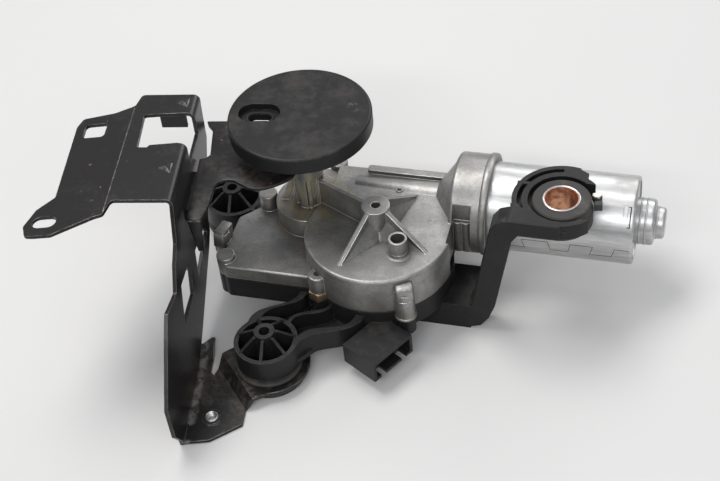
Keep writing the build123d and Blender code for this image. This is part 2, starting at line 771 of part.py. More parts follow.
# ================================================================ output sector, shaft and disc
sector_radius = spur_module * sector_full_teeth / 2
sector_half_width = swing + spare_teeth * 360 / sector_full_teeth
sector_pad = sector_radius + 2 * spur_module
with BuildPart() as output_sector:
    with BuildSketch(Plane.XY.offset(sector_bottom)):
        with BuildLine():
            Polyline(*gear_outline(sector_full_teeth, spur_module, spur_backlash, stage_bearing),
                     close=True)
        make_face()
        wedge = []
        for step in range(9):
            bearing = radians(stage_bearing + sector_half_width * (step / 4 - 1))
            wedge.append((1.3 * sector_pad * cos(bearing), 1.3 * sector_pad * sin(bearing)))
        with BuildLine():
            Polyline((0, 0), *wedge, close=True)
        make_face(mode=Mode.INTERSECT)
        with PolarLocations((sector_hub_radius + sector_radius) / 2 + 1, 3,
                            start_angle=stage_bearing - sector_half_width * 2 / 3,
                            angular_range=sector_half_width * 8 / 3):
            Circle(6.0, mode=Mode.SUBTRACT)
        Circle(sector_hub_radius)
        Circle(shaft_out_radius + press_fit, mode=Mode.SUBTRACT)
    extrude(amount=sector_thickness)
output_sector.part.label = "output_sector"
export_step(output_sector.part, "parts/output_sector.step")

shaft_bottom = sector_bottom
shaft_top = disc_top - recess_depth
washer_top = tower_height + 1.0
clip_top = washer_top + 1.0
clip_groove = 0.5
with BuildPart() as output_shaft:
    with BuildSketch(Plane.XY.offset(shaft_bottom)):
        Circle(shaft_out_radius)
    extrude(amount=shaft_top - shaft_bottom)
    top_edge = edges().filter_by(GeomType.CIRCLE).group_by(Axis.Z)[-1]
    chamfer(top_edge, length=0.6)
    with BuildSketch(Plane.XY.offset(washer_top + running_fit)):
        Circle(shaft_out_radius + 1)
        Circle(shaft_out_radius - clip_groove, mode=Mode.SUBTRACT)
    extrude(amount=1.0, mode=Mode.SUBTRACT)
output_shaft.part.label = "output_shaft"
export_step(output_shaft.part, "parts/output_shaft.step")

with BuildPart() as output_bushes:
    for floor_z in (plate_height - 2, tower_height - bush_length - 0.5):
        with BuildSketch(Plane.XY.offset(floor_z)):
            Circle(shaft_out_radius + bush_wall)
            Circle(shaft_out_radius + running_fit, mode=Mode.SUBTRACT)
        extrude(amount=bush_length)
output_bushes.part.label = "output_bushes"
export_step(output_bushes.part, "parts/output_bushes.step")

with BuildPart() as shaft_washer:
    with BuildSketch(Plane.XY.offset(tower_height)):
        Circle(tower_core_radius - 0.3)
        Circle(shaft_out_radius + running_fit, mode=Mode.SUBTRACT)
    extrude(amount=1.0)
shaft_washer.part.label = "shaft_washer"
export_step(shaft_washer.part, "parts/shaft_washer.step")

with BuildPart() as shaft_clip:
    with BuildSketch(Plane.XY.offset(washer_top + 2 * running_fit)):
        Circle(shaft_out_radius + 1.8)
        Circle(shaft_out_radius - clip_groove + press_fit, mode=Mode.SUBTRACT)
        with Locations((0, -shaft_out_radius)):
            Rectangle(3.0, 6.0, mode=Mode.SUBTRACT)
    extrude(amount=0.85)
shaft_clip.part.label = "shaft_clip"
export_step(shaft_clip.part, "parts/shaft_clip.step")

disc_rim_radius = disc_radius - disc_rim
with BuildPart() as drive_disc:
    with BuildSketch(Plane.XY.offset(disc_bottom)):
        Circle(disc_radius)
    extrude(amount=disc_thickness)
    round_edges = edges().filter_by(GeomType.CIRCLE).group_by(Axis.Z)[-1]
    fillet(round_edges, radius=disc_edge_fillet)
    with BuildSketch(Plane.XY.offset(disc_bottom)):
        Circle(disc_rim_radius)
    extrude(amount=disc_thickness - disc_skin, mode=Mode.SUBTRACT)
    with BuildSketch(Plane.XY.offset(disc_bottom + 1)):
        with PolarLocations(disc_radius / 2, disc_ribs):
            Rectangle(disc_radius - 2, disc_rib)
    extrude(amount=disc_thickness - 2)
    with BuildSketch(Plane.XY.offset(disc_bottom - disc_hub_drop)):
        Circle(disc_hub_radius)
    extrude(amount=disc_hub_drop + disc_thickness - 1)
    with BuildSketch(Plane.XY.offset(disc_bottom + 1)):
        with Locations(slot_place):
            SlotOverall(recess_length + 2 * disc_rib, recess_breadth + 2 * disc_rib)
    extrude(amount=disc_thickness - 2)
    with BuildSketch(Plane.XY.offset(disc_top - recess_depth)):
        with Locations(slot_place):
            SlotOverall(recess_length, recess_breadth)
    extrude(amount=recess_depth, mode=Mode.SUBTRACT)
    with BuildSketch(Plane.XY.offset(disc_bottom)):
        with Locations(slot_place):
            SlotOverall(slot_length, slot_breadth)
    extrude(amount=disc_thickness, mode=Mode.SUBTRACT)
    with BuildSketch(Plane.XY.offset(disc_bottom - disc_hub_drop)):
        Circle(shaft_out_radius + press_fit)
    extrude(amount=shaft_top - disc_bottom + disc_hub_drop, mode=Mode.SUBTRACT)
drive_disc.part.label = "drive_disc"
export_step(drive_disc.part, "parts/drive_disc.step")


# ================================================================ carrier moulded below the housing
channel_floor = 3.0
rib_width = 2.0
left_wall_outer = [(-16.0, -79.9), (-8.6, -63.3), (0.5, -57.8), (5.0, -46.5)]
left_wall_inner = [(-10.4, -70.0), (-5.6, -63.4), (5.1, -57.0), (8.7, -45.9)]
right_wall_outer = [(13.3, -90.5), (21.7, -78.2), (36.1, -71.9), (44.7, -57.8)]
right_wall_inner = [(12.9, -80.8), (20.6, -74.0), (33.6, -69.9), (39.2, -58.8)]
channel_hole = [(10.5, -48.0), (21.5, -48.0), (19.0, -58.0), (9.5, -61.5), (5.0, -60.0), (9.0, -55.0)]
middle_rib = [(5.2, -73.6), (8.7, -66.0), (20.7, -60.7), (24.5, -53.6)]
arm_floor = [(-16.0, -79.9), (-12.0, -71.0), (-5.0, -60.9), (2.5, -55.0), (5.0, -46.5), (40.0, -46.5),
             (44.7, -57.8), (36.1, -71.0), (21.7, -77.5), (13.5, -89.5)]
rear_arm = [(-52.0, 3.5), (-38.5, -9.0), (-29.0, 3.0), (-24.0, 9.0), (-40.0, 26.0)]
rear_arm_rib = [(-46.0, 14.5), (-31.0, 1.0)]
bridge_start_x = 60.0
bridge_end_x = 96.0
bridge_back_y = -6.0
bridge_top = -12.0
offset_arm = [(60.0, -29.0), (94.0, -29.0), (101.5, -26.5), (106.0, -20.0), (109.5, -10.4),
              (119.0, 39.0), (122.5, 44.2), (143.6, 44.2), (143.6, 53.2), (117.5, 53.6),
              (111.5, 51.5), (107.6, 46.0), (96.8, -10.5), (91.0, -15.3), (60.0, -15.3)]
arm_wall = 2.6
ring_web_top = ring_top - ring_drop
ring_web_bottom = ring_web_top - ring_web_thickness
ring_bottom = ring_top - ring_wall_height
arm_edge_fillet = 0.9
ring_leg = [(113.5, -36.6), (143.6, -36.6), (143.6, -34.0), (128.5, -34.0), (123.5, -29.0),
            (120.5, -22.0), (116.0, -22.0), (117.5, -29.0)]
ring_rib_radius = 25.6
fork_prong = [(4.5, 25.0), (11.0, 21.3), (10.6, 17.0), (4.0, 18.5), (-2.0, 19.5), (-2.0, 25.5)]
connector_bottom = connector_top - connector_height
connector_place = Location((connector_x, connector_y), connector_angle)
connector_axis = Plane(origin=(connector_x, connector_y, 0),
                       x_dir=(cos(radians(connector_angle)), sin(radians(connector_angle)), 0),
                       z_dir=(0, 0, 1))
blade_z = connector_top - connector_height / 2
blade_length = connector_depth - 2.0
blade_root = 3.0
blade_start = connector_length / 2 - connector_depth - blade_root

with BuildPart() as arm_body:
    with BuildSketch(Plane(origin=(0, arm_face_y, 0), x_dir=(1, 0, 0), z_dir=(0, -1, 0))):
        with BuildLine():
            Polyline(*offset_arm, close=True)
        make_face()
    extrude(amount=-arm_depth)
    face_edges = edges().group_by(Axis.Y)[0]
    fillet(face_edges, radius=arm_edge_fillet)

# shell round the ring: the ring wall, an outer rib on its left and the two prongs of the fork
with BuildSketch() as ring_rib:
    Circle(ring_rib_radius)
    Circle(ring_rib_radius - rib_thickness, mode=Mode.SUBTRACT)
    with BuildLine():
        Polyline((0, 0), (-60, -22), (-60, 60), (16, 60), close=True)
    make_face(mode=Mode.INTERSECT)
    with BuildLine():
        Polyline(*fork_prong, close=True)
    make_face()
    with Locations((-21.0, 9.5)):
        Rectangle(7.0, rib_width)

with BuildPart() as gear_cover:
    with BuildSketch(Plane.XY.offset(tray_bottom)):
        add(footprint.sketch)
    extrude(amount=-tray_bottom - seal_thickness)
    # arm to the front damper
    with BuildSketch(Plane.XY.offset(mount_bottom)):
        with Locations(front_mount, rear_mount):
            Circle(mount_radius)
        with BuildLine():
            Polyline(*arm_floor, close=True)
        make_face()
        with BuildLine():
            Polyline(*rear_arm, close=True)
        make_face()
    extrude(amount=channel_floor)
    with BuildSketch(Plane.XY.offset(mount_bottom)):
        for outer, inner in ((left_wall_outer, left_wall_inner),
                             (right_wall_outer, right_wall_inner)):
            with BuildLine():
                outer_curve = Spline(*outer)
                inner_curve = Spline(*inner)
                Line(outer_curve @ 0, inner_curve @ 0)
                Line(outer_curve @ 1, inner_curve @ 1)
            make_face()
        with BuildLine() as rib_line:
            Spline(*middle_rib)
        trace(rib_line.edges(), line_width=rib_width)
        with BuildLine() as rear_rib_line:
            Polyline(*rear_arm_rib)
        trace(rear_rib_line.edges(), line_width=rib_width)
        with Locations(front_mount, rear_mount):
            Circle(mount_radius)
        with Locations(front_mount, rear_mount):
            Circle(mount_radius - mount_wall, mode=Mode.SUBTRACT)
    extrude(amount=mount_top - mount_bottom)
    # bridge below the drum to the offset arm
    with BuildSketch(Plane.XY.offset(base_z)):
        with Locations(((bridge_start_x + bridge_end_x) / 2, (arm_face_y + bridge_back_y) / 2)):
            Rectangle(bridge_end_x - bridge_start_x, bridge_back_y - arm_face_y)
    extrude(amount=bridge_top - base_z)
    # connector shroud
    with BuildSketch(Plane.XY.offset(connector_bottom)):
        with Locations(connector_place):
            Rectangle(connector_length, connector_width)
    extrude(amount=connector_height)
    # offset arm, pocketed from behind, and the ring for the upper damper
    add(arm_body.part)
    with BuildSketch(Plane(origin=(0, arm_face_y + arm_wall, 0), x_dir=(1, 0, 0), z_dir=(0, -1, 0))):
        with BuildLine():
            Polyline(*offset_arm, close=True)
        make_face()
        offset(amount=-arm_wall, kind=Kind.INTERSECTION, mode=Mode.REPLACE)
        with Locations((110, 22)):
            Rectangle(40, 45, mode=Mode.INTERSECT)
    extrude(amount=-arm_depth, mode=Mode.SUBTRACT)
    with BuildSketch(Plane.XY.offset(ring_bottom - 5)):
        with Locations((ring_x, ring_y)):
            Circle(ring_inner_radius)
    extrude(amount=ring_wall_height + 10, mode=Mode.SUBTRACT)
    with BuildSketch(Plane.XY.offset(ring_bottom)):
        with Locations((ring_x, ring_y)):
            Circle(ring_wall_radius)
            Circle(ring_inner_radius, mode=Mode.SUBTRACT)
        with Locations((ring_x + ring_wall_radius, ring_y)):
            Rectangle(2 * (ring_wall_radius - 4), 2 * ring_neck_gap, mode=Mode.SUBTRACT)
        with Locations((ring_x, ring_y)):
            add(ring_rib.sketch)
        with BuildLine():
            Polyline(*ring_leg, close=True)
        make_face()
    extrude(amount=ring_wall_height)
    with BuildSketch(Plane.XY.offset(ring_web_bottom)):
        with Locations((ring_x, ring_y)):
            Circle(ring_rib_radius - 1)
            Circle(rubber_neck_radius + rubber_fit, mode=Mode.SUBTRACT)
        with Locations((ring_x + 20, ring_y), (ring_x, ring_y - 30)):
            Rectangle(40, 19, mode=Mode.SUBTRACT)
        with Locations((ring_x + 20 + 5, ring_y)):
            Rectangle(40, 80, mode=Mode.SUBTRACT)
        with Locations((ring_x + ring_inner_radius, ring_y)):
            Rectangle(2 * ring_inner_radius, 2 * (rubber_neck_radius + rubber_fit) - 1,
                      mode=Mode.SUBTRACT)
    extrude(amount=ring_web_thickness)
    # ribbed bosses over the dampers
    for place in (front_mount, rear_mount):
        with BuildSketch(Plane.XY.offset(mount_bottom)):
            with Locations(place):
                Circle(mount_hub_radius)
        extrude(amount=mount_hub_top - mount_bottom, taper=2)
        for rib in range(mount_ribs):
            bearing = 20 + 360 * rib / mount_ribs
            with BuildSketch(upright_plane(place, bearing)):
                with BuildLine():
                    Polyline((mount_hub_radius - 2, mount_bottom + 1),
                             (mount_hub_radius - 2, mount_hub_top - 1.2),
                             (mount_hub_radius + 0.5, mount_hub_top - 1.2),
                             (mount_radius - 1, mount_top), (mount_radius - 1, mount_bottom + 1),
                             close=True)
                make_face()
            extrude(amount=rib_width / 2 - 0.2, both=True)
    # hollows: gear tray, damper bolts, connector mouth, bridge
    with BuildSketch(Plane.XY.offset(tray_bottom + moulded_wall)):
        add(cavity_outline.sketch)
    extrude(amount=-tray_bottom, mode=Mode.SUBTRACT)
    with BuildSketch(Plane.XY.offset(mount_bottom - 1)):
        with BuildLine():
            Polyline(*channel_hole, close=True)
        make_face()
        with Locations(wheel_axis):
            Circle(drum_radius + 0.5, mode=Mode.SUBTRACT)
        with Locations((0, 0)):
            Rectangle(200, 98.5, mode=Mode.SUBTRACT)
    extrude(amount=channel_floor + 2, mode=Mode.SUBTRACT)
    with BuildSketch(Plane.XY.offset(base_z)):
        with Locations(front_mount, rear_mount):
            Circle(mount_hole_radius)
    extrude(amount=2 * mount_hub_top - base_z, mode=Mode.SUBTRACT)
    with BuildSketch(Plane.XY.offset(connector_bottom + connector_wall)):
        with Locations(connector_place):
            with Locations((connector_length / 2 - connector_depth / 2 + 1, 0)):
                Rectangle(connector_depth + 2, connector_width - 2 * connector_wall)
    extrude(amount=connector_height - 2 * connector_wall, mode=Mode.SUBTRACT)
    with BuildSketch(Plane.XY.offset(base_z)):
        with Locations(((bridge_start_x + bridge_end_x) / 2,
                        (arm_face_y + arm_depth + bridge_back_y) / 2)):
            Rectangle(bridge_end_x - bridge_start_x - 2 * moulded_wall,
                      bridge_back_y - arm_face_y - arm_depth - 2 * moulded_wall)
    extrude(amount=bridge_top - base_z - moulded_wall, mode=Mode.SUBTRACT)
    with BuildSketch(Plane.XY.offset(connector_bottom)):
        with Locations(connector_place):
            with Locations((connector_length / 2, latch_pitch / 2), (connector_length / 2, -latch_pitch / 2)):
                Rectangle(latch_depth, latch_width)
    extrude(amount=2 * connector_wall, mode=Mode.SUBTRACT)
    with BuildSketch(Plane.XY.offset(blade_z - blade_thickness / 2 - press_fit)):
        with Locations(connector_place):
            with GridLocations(1, blade_pitch, 1, blades):
                with Locations((blade_start + blade_length / 2, 0)):
                    Rectangle(blade_length, blade_width + 2 * press_fit)
    extrude(amount=blade_thickness + 2 * press_fit, mode=Mode.SUBTRACT)
    # access to the screw heads and clearance round the motor flange
    with BuildSketch(Plane.XY.offset(base_z)):
        with Locations(*screw_places):
            Circle(screw_boss_radius - 1)
    extrude(amount=mount_top - base_z, mode=Mode.SUBTRACT)
    with BuildSketch(Plane.XY.offset(base_z)):
        with Locations(*screw_places):
            Circle(screw_radius + running_fit)
    extrude(amount=-base_z, mode=Mode.SUBTRACT)
    with BuildSketch(motor_plane(collar_start_x - 0.3)):
        Circle(collar_radius + 0.3)
    extrude(amount=2 * collar_length, mode=Mode.SUBTRACT)
gear_cover.part.label = "gear_cover"
export_step(gear_cover.part, "parts/gear_cover.step")

with BuildPart() as housing_seal:
    with BuildSketch(Plane.XY.offset(-seal_thickness)):
        add(footprint.sketch)
        add(cavity_outline.sketch, mode=Mode.SUBTRACT)
        with Locations(*screw_places):
            Circle(screw_radius + running_fit, mode=Mode.SUBTRACT)
        with Locations((collar_start_x + 14.5, 0)):
            Rectangle(30, 100, mode=Mode.SUBTRACT)
    extrude(amount=seal_thickness)
housing_seal.part.label = "housing_seal"
export_step(housing_seal.part, "parts/housing_seal.step")

board_top = -8.0
board_thickness = 1.6
board_edge = 1.2
with BuildPart() as circuit_board:
    with BuildSketch(Plane.XY.offset(board_top - board_thickness)):
        with Locations((-6.0, -27.0)):
            Rectangle(60.0, 37.0)
        with Locations(wheel_axis):
            Circle(drum_radius - cast_wall - board_edge)
        with Locations(*screw_places):
            Circle(screw_boss_radius + board_edge, mode=Mode.SUBTRACT)
    extrude(amount=board_thickness)
    with BuildSketch(Plane.XY.offset(tray_bottom + moulded_wall)):
        with Locations((-30, -20), (6, -42), (64, -30), (40, 6), (-30, -34)):
            Circle(2.0)
    extrude(amount=board_top - board_thickness - tray_bottom - moulded_wall)
    with BuildSketch(Plane.XY.offset(board_top)):
        with Locations((-22, -30), (0, -30)):
            Rectangle(18, 15)
        with Locations((52, -38)):
            Rectangle(14, 10)
    extrude(amount=5.5)
circuit_board.part.label = "circuit_board"
export_step(circuit_board.part, "parts/circuit_board.step")

with BuildPart() as terminal_pins:
    with BuildSketch(Plane.XY.offset(blade_z - blade_thickness / 2)):
        with Locations(connector_place):
            with GridLocations(1, blade_pitch, 1, blades):
                with Locations((blade_start + blade_length / 2, 0)):
                    Rectangle(blade_length, blade_width)
    extrude(amount=blade_thickness)
terminal_pins.part.label = "terminal_pins"
export_step(terminal_pins.part, "parts/terminal_pins.step")

with BuildPart() as housing_screws:
    with BuildSketch(Plane.XY.offset(mount_top)):
        with Locations(*screw_places):
            Circle(screw_radius)
    extrude(amount=screw_tip - mount_top)
    with BuildSketch(Plane.XY.offset(mount_top - 0.8)):
        with Locations(*screw_places):
            Circle(screw_head_radius)
    extrude(amount=0.8)
    with BuildSketch(Plane.XY.offset(mount_top - screw_head_height)):
        with Locations(*screw_places):
            RegularPolygon(screw_head_radius - 0.6, 6)
    extrude(amount=screw_head_height - 0.8)
housing_screws.part.label = "housing_screws"
export_step(housing_screws.part, "parts/housing_screws.step")

# ================================================================ upper damper in the ring
sleeve_top = ring_top + 0.4
sleeve_bottom = sleeve_top - sleeve_length
with BuildPart() as ring_sleeve:
    with BuildSketch(Plane.XY.offset(sleeve_bottom)):
        with Locations((ring_x, ring_y)):
            Circle(sleeve_radius)
            Circle(sleeve_radius - sleeve_wall, mode=Mode.SUBTRACT)
    extrude(amount=sleeve_length)
ring_sleeve.part.label = "ring_sleeve"
export_step(ring_sleeve.part, "parts/ring_sleeve.step")

rubber_top = sleeve_top - 1.2
rubber_bottom = sleeve_bottom + 1.2
with BuildPart() as ring_damper:
    with BuildSketch(Plane.XY.offset(rubber_bottom)):
        with Locations((ring_x, ring_y)):
            Circle(rubber_radius)
    extrude(amount=ring_web_bottom - rubber_fit - rubber_bottom)
    with BuildSketch(Plane.XY.offset(ring_web_bottom - 1)):
        with Locations((ring_x, ring_y)):
            Circle(rubber_neck_radius)
    extrude(amount=ring_web_thickness + 2)
    with BuildSketch(Plane.XY.offset(ring_web_top + rubber_fit)):
        with Locations((ring_x, ring_y)):
            Circle(rubber_radius)
    extrude(amount=rubber_top - ring_web_top - rubber_fit)
    rubber_edges = edges().filter_by(GeomType.CIRCLE)
    lip_edges = rubber_edges.group_by(Axis.Z)[-1] + rubber_edges.group_by(Axis.Z)[0]
    fillet(lip_edges, radius=1.2)
    with BuildSketch(Plane.XY.offset(rubber_bottom)):
        with Locations((ring_x, ring_y)):
            Circle(sleeve_radius + press_fit)
    extrude(amount=sleeve_length, mode=Mode.SUBTRACT)
ring_damper.part.label = "ring_damper"
export_step(ring_damper.part, "parts/ring_damper.step")

# ================================================================ lower dampers
damper_top = mount_bottom
plate_bottom = plate_z - sheet
stud_top = damper_top + 8.0
with BuildPart() as front_damper:
    with BuildSketch(Plane.XY.offset(plate_z + rubber_fit)):
        with Locations(front_mount):
            Circle(damper_upper_radius)
    extrude(amount=damper_top - plate_z - rubber_fit)
    with BuildSketch(Plane.XY.offset(plate_bottom - 1)):
        with Locations(front_mount):
            Circle(damper_neck_radius)
    extrude(amount=sheet + 2)
    with BuildSketch(Plane.XY.offset(base_z)):
        with Locations(front_mount):
            Circle(damper_lower_radius)
    extrude(amount=plate_bottom - rubber_fit - base_z, taper=8)
    with BuildSketch(Plane.XY.offset(base_z)):
        with Locations(front_mount):
            Circle(stud_head_radius + rubber_fit)
    extrude(amount=stud_head_height, mode=Mode.SUBTRACT)
    with BuildSketch(Plane.XY.offset(base_z)):
        with Locations(front_mount):
            Circle(damper_sleeve_radius + press_fit)
    extrude(amount=damper_top - base_z, mode=Mode.SUBTRACT)
front_damper.part.label = "front_damper"
export_step(front_damper.part, "parts/front_damper.step")

with BuildPart() as rear_damper:
    with BuildSketch(Plane.XY.offset(base_z)):
        with Locations(rear_mount):
            Circle(damper_upper_radius)
            Circle(damper_sleeve_radius + press_fit, mode=Mode.SUBTRACT)
    extrude(amount=damper_top - base_z)
    with BuildSketch(Plane.XY.offset(plate_bottom)):
        with Locations(rear_mount):
            Circle(damper_upper_radius + 1)
            Circle(damper_neck_radius, mode=Mode.SUBTRACT)
    extrude(amount=sheet, mode=Mode.SUBTRACT)
    with BuildSketch(Plane.XY.offset(base_z)):
        with Locations(rear_mount):
            Circle(stud_head_radius + rubber_fit)
    extrude(amount=stud_head_height, mode=Mode.SUBTRACT)
rear_damper.part.label = "rear_damper"
export_step(rear_damper.part, "parts/rear_damper.step")

with BuildPart() as damper_sleeves:
    with BuildSketch(Plane.XY.offset(base_z + stud_head_height)):
        with Locations(front_mount, rear_mount):
            Circle(damper_sleeve_radius)
            Circle(damper_bore_radius, mode=Mode.SUBTRACT)
    extrude(amount=damper_top - base_z - stud_head_height)
damper_sleeves.part.label = "damper_sleeves"
export_step(damper_sleeves.part, "parts/damper_sleeves.step")

with BuildPart() as damper_studs:
    with BuildSketch(Plane.XY.offset(base_z)):
        with Locations(front_mount, rear_mount):
            Circle(stud_head_radius)
    extrude(amount=stud_head_height)
    with BuildSketch(Plane.XY.offset(base_z)):
        with Locations(front_mount, rear_mount):
            Circle(stud_radius)
    extrude(amount=stud_top - base_z)
damper_studs.part.label = "damper_studs"
export_step(damper_studs.part, "parts/damper_studs.step")

# ================================================================ bracket, in axes turned about Z
turn = radians(bracket_turn)
across = (cos(turn), sin(turn), 0)
along = (-sin(turn), cos(turn), 0)
bracket_plan = Plane(origin=(0, 0, 0), x_dir=across, z_dir=(0, 0, 1))
bracket_profile = Plane(origin=(0, 0, 0), x_dir=across, z_dir=(sin(turn), -cos(turn), 0))
bracket_face = Plane(origin=(0, 0, 0), x_dir=along, z_dir=across)
web_outer_x = web_x - sheet
deck_bottom = deck_z - sheet
wing_end_x = -133.0
wing_fall = (crease_x - wing_end_x) * tan(radians(wing_drop))
bracket_front = -150.0
bracket_back = 25.0

web_outline = [(-67.3, 83.0), (-67.3, 76.0), (-74.9, 56.9), (-84.1, 50.3), (-92.6, 39.0),
               (-97.0, 40.0), (-112.0, 44.3), (-121.0, 36.0), (-145.6, 9.5), (-144.7, -12.0),
               (-137.0, -24.0), (-136.0, -29.0), (-84.5, -29.0), (-84.5, -25.0), (-72.8, -20.8),
               (-22.6, 3.5), (-15.0, 9.0), (-13.5, 17.0), (15.0, 52.0), (17.0, 83.0)]
diamond = [(-67.9, 32.7), (-83.0, 34.8), (-91.0, 14.2), (-66.5, 11.8), (-62.3, 24.6)]
lower_window = [(-26.7, 21.4), (-20.5, 13.5), (-52.0, 9.0), (-48.6, 26.2)]
deck_outline = [(-50.0, 17.0), (-88.0, 17.0), (-90.2, 7.7), (-100.6, 3.0), (-117.8, 0.3),
                (-120.1, -6.4), (-118.7, -61.9), (-126.8, -70.5), (-130.9, -82.3), (-128.4, -89.7),
                (-114.9, -89.7), (-95.1, -79.0), (-90.2, -77.4), (-88.0, -67.3), (-50.0, -67.3)]
deck_opening = [(-83.6, -0.2), (-76.2, 0.6), (-61.9, 1.4), (-50.0, -0.7), (-50.0, -25.0),
                (-61.9, -23.2), (-76.3, -24.8), (-77.2, -26.7), (-82.5, -26.6)]
opening_web_bottom = 66.0
corner_radius = 2.4
dart_height = 1.6
dart_places = [10.0, -43.0]
tab_y = 2.4
foot_outline = [(-58.7, -136.0), (-44.0, -134.0), (-41.5, -132.5), (-27.8, -123.2),
                (-27.5, -112.8), (-15.9, -106.8), (-17.6, -85.0), (-38.7, -74.4), (-44.5, -79.0),
                (-48.0, -90.0), (-50.2, -88.0), (-50.2, -67.5), (-58.7, -67.5)]
plate_end_radius = 21.8
front_local = bracket_plan.to_local_coords(Vector(front_mount[0], front_mount[1], 0))
foot_thread = (-44.4, -119.5)
step_place = (-37.0, -98.4)
step_bearing = 33.6
step_run = 5.0

with BuildPart() as upper_keep:
    with BuildSketch(bracket_face.offset(web_outer_x - 0.5)):
        with BuildLine():
            Polyline(*web_outline, close=True)
        make_face()
        with BuildLine():
            Polyline(*diamond, close=True)
        make_face(mode=Mode.SUBTRACT)
        with BuildLine():
            Polyline(*lower_window, close=True)
        make_face(mode=Mode.SUBTRACT)
    extrude(amount=bend_radius + sheet + 1)
    with BuildSketch(bracket_plan.offset(deck_z - bend_radius - sheet)):
        with BuildLine():
            Polyline(*deck_outline, close=True)
        make_face()
        fillet(vertices(), radius=corner_radius)
    extrude(amount=bend_radius + 2 * sheet)
    with BuildSketch(bracket_plan.offset(opening_web_bottom)):
        with BuildLine():
            Polyline(*deck_opening, close=True)
        make_face()
        fillet(vertices(), radius=0.8)
    extrude(amount=deck_z, mode=Mode.SUBTRACT)

with BuildPart() as foot_keep:
    with BuildSketch(bracket_plan.offset(base_z - 1)):
        with BuildLine():
            Polyline(*foot_outline, close=True)
        make_face()
        fillet(vertices().sort_by(Axis.Y)[:5], radius=1.2)
        with Locations((front_local.X, front_local.Y)):
            Circle(plate_end_radius)
            Circle(damper_neck_radius + rubber_fit, mode=Mode.SUBTRACT)
    extrude(amount=plate_z - base_z + 2)

# stepped strip that becomes the foot and the damper plate
with BuildPart() as foot_strip:
    with BuildSketch(bracket_plan * upright_plane(step_place, step_bearing)):
        with BuildLine() as step_line:
            Polyline((-70, base_z + sheet / 2), (0, base_z + sheet / 2),
                     (step_run, plate_z - sheet / 2), (70, plate_z - sheet / 2))
        trace(step_line.edges(), line_width=sheet)
    extrude(amount=70, both=True)
    add(foot_keep.part, mode=Mode.INTERSECT)

with BuildPart() as main_bracket:
    with BuildSketch(bracket_profile.offset(-bracket_back)):
        with BuildLine() as section_line:
            bend = FilletPolyline((web_x - sheet / 2, base_z), (web_x - sheet / 2, deck_z - sheet / 2),
                                  (crease_x, deck_z - sheet / 2), radius=bend_radius - sheet / 2)
            Line((crease_x, deck_z - sheet / 2), (wing_end_x, deck_z - sheet / 2 - wing_fall))
        trace(section_line.edges(), line_width=sheet)
    extrude(amount=bracket_back - bracket_front)
    add(upper_keep.part, mode=Mode.INTERSECT)
    add(foot_strip.part)
    with BuildSketch(bracket_plan.offset(base_z)):
        with Locations(foot_thread):
            Circle(foot_collar_radius)
    extrude(amount=foot_collar_height)
    with BuildSketch(bracket_plan.offset(base_z)):
        with Locations(foot_thread):
            Circle(foot_thread_radius)
    extrude(amount=foot_collar_height, mode=Mode.SUBTRACT)
    # holes in the wing and the tab bent down into the opening
    with BuildSketch(bracket_plan.offset(deck_z - 15)):
        with Locations((-109.0, -10.5)):
            RectangleRounded(12.0, 11.0, 2.2)
        with Locations((-120.2, -80.0)):
            SlotOverall(12.5, 8.0)
    extrude(amount=20, mode=Mode.SUBTRACT)
    with BuildSketch(bracket_face.offset(-76.0)):
        with Locations((tab_y, deck_z - 5.5)):
            Rectangle(sheet, 9.0)
    extrude(amount=14.0)
    # stiffening darts pressed into the deck beside the bend
    for dart_y in dart_places:
        with BuildSketch(bracket_plan.offset(deck_z - 0.3)):
            with BuildLine():
                Polyline((web_outer_x - 8.0, dart_y), (web_outer_x - 2.5, dart_y - 4.0),
                         (web_outer_x - 2.5, dart_y + 4.0), close=True)
            make_face()
        extrude(amount=dart_height, taper=42)
main_bracket.part.label = "main_bracket"
export_step(main_bracket.part, "parts/main_bracket.step")

shelf_bottom = shelf_z - sheet / 2
shelf_outline = [(-56.7, 21.0), (-56.7, -59.0), (-46.0, -59.0), (-45.4, -32.0), (-42.0, -28.5),
                 (-36.5, -26.0), (-31.0, -28.5), (-27.0, -34.5), (-20.0, -36.5), (-14.0, -34.5),
                 (-5.0, -28.0), (-1.0, -20.0), (0.0, 0.0), (-2.0, 21.0)]
relief_radius = 12.5
with BuildPart() as upper_bracket:
    with BuildSketch(bracket_plan.offset(shelf_bottom)):
        with BuildLine():
            Polyline(*shelf_outline, close=True)
        make_face()
        Circle(relief_radius, mode=Mode.SUBTRACT)
    extrude(amount=sheet)
    with BuildSketch(bracket_face.offset(web_x)):
        with Locations((-34, shelf_bottom - 4.0)):
            Rectangle(30, 8.0)
        with Locations((-57, shelf_bottom + 0.5)):
            Rectangle(4, 1.0)
    extrude(amount=sheet)
    with BuildSketch(bracket_face.offset(web_x + 2)):
        with Locations((-58.0, shelf_bottom - 2.5)):
            Rectangle(sheet, 6.0)
    extrude(amount=8.0)
upper_bracket.part.label = "upper_bracket"
export_step(upper_bracket.part, "parts/upper_bracket.step")
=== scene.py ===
import json
import math

import bmesh
import bpy
from mathutils import Matrix, Vector


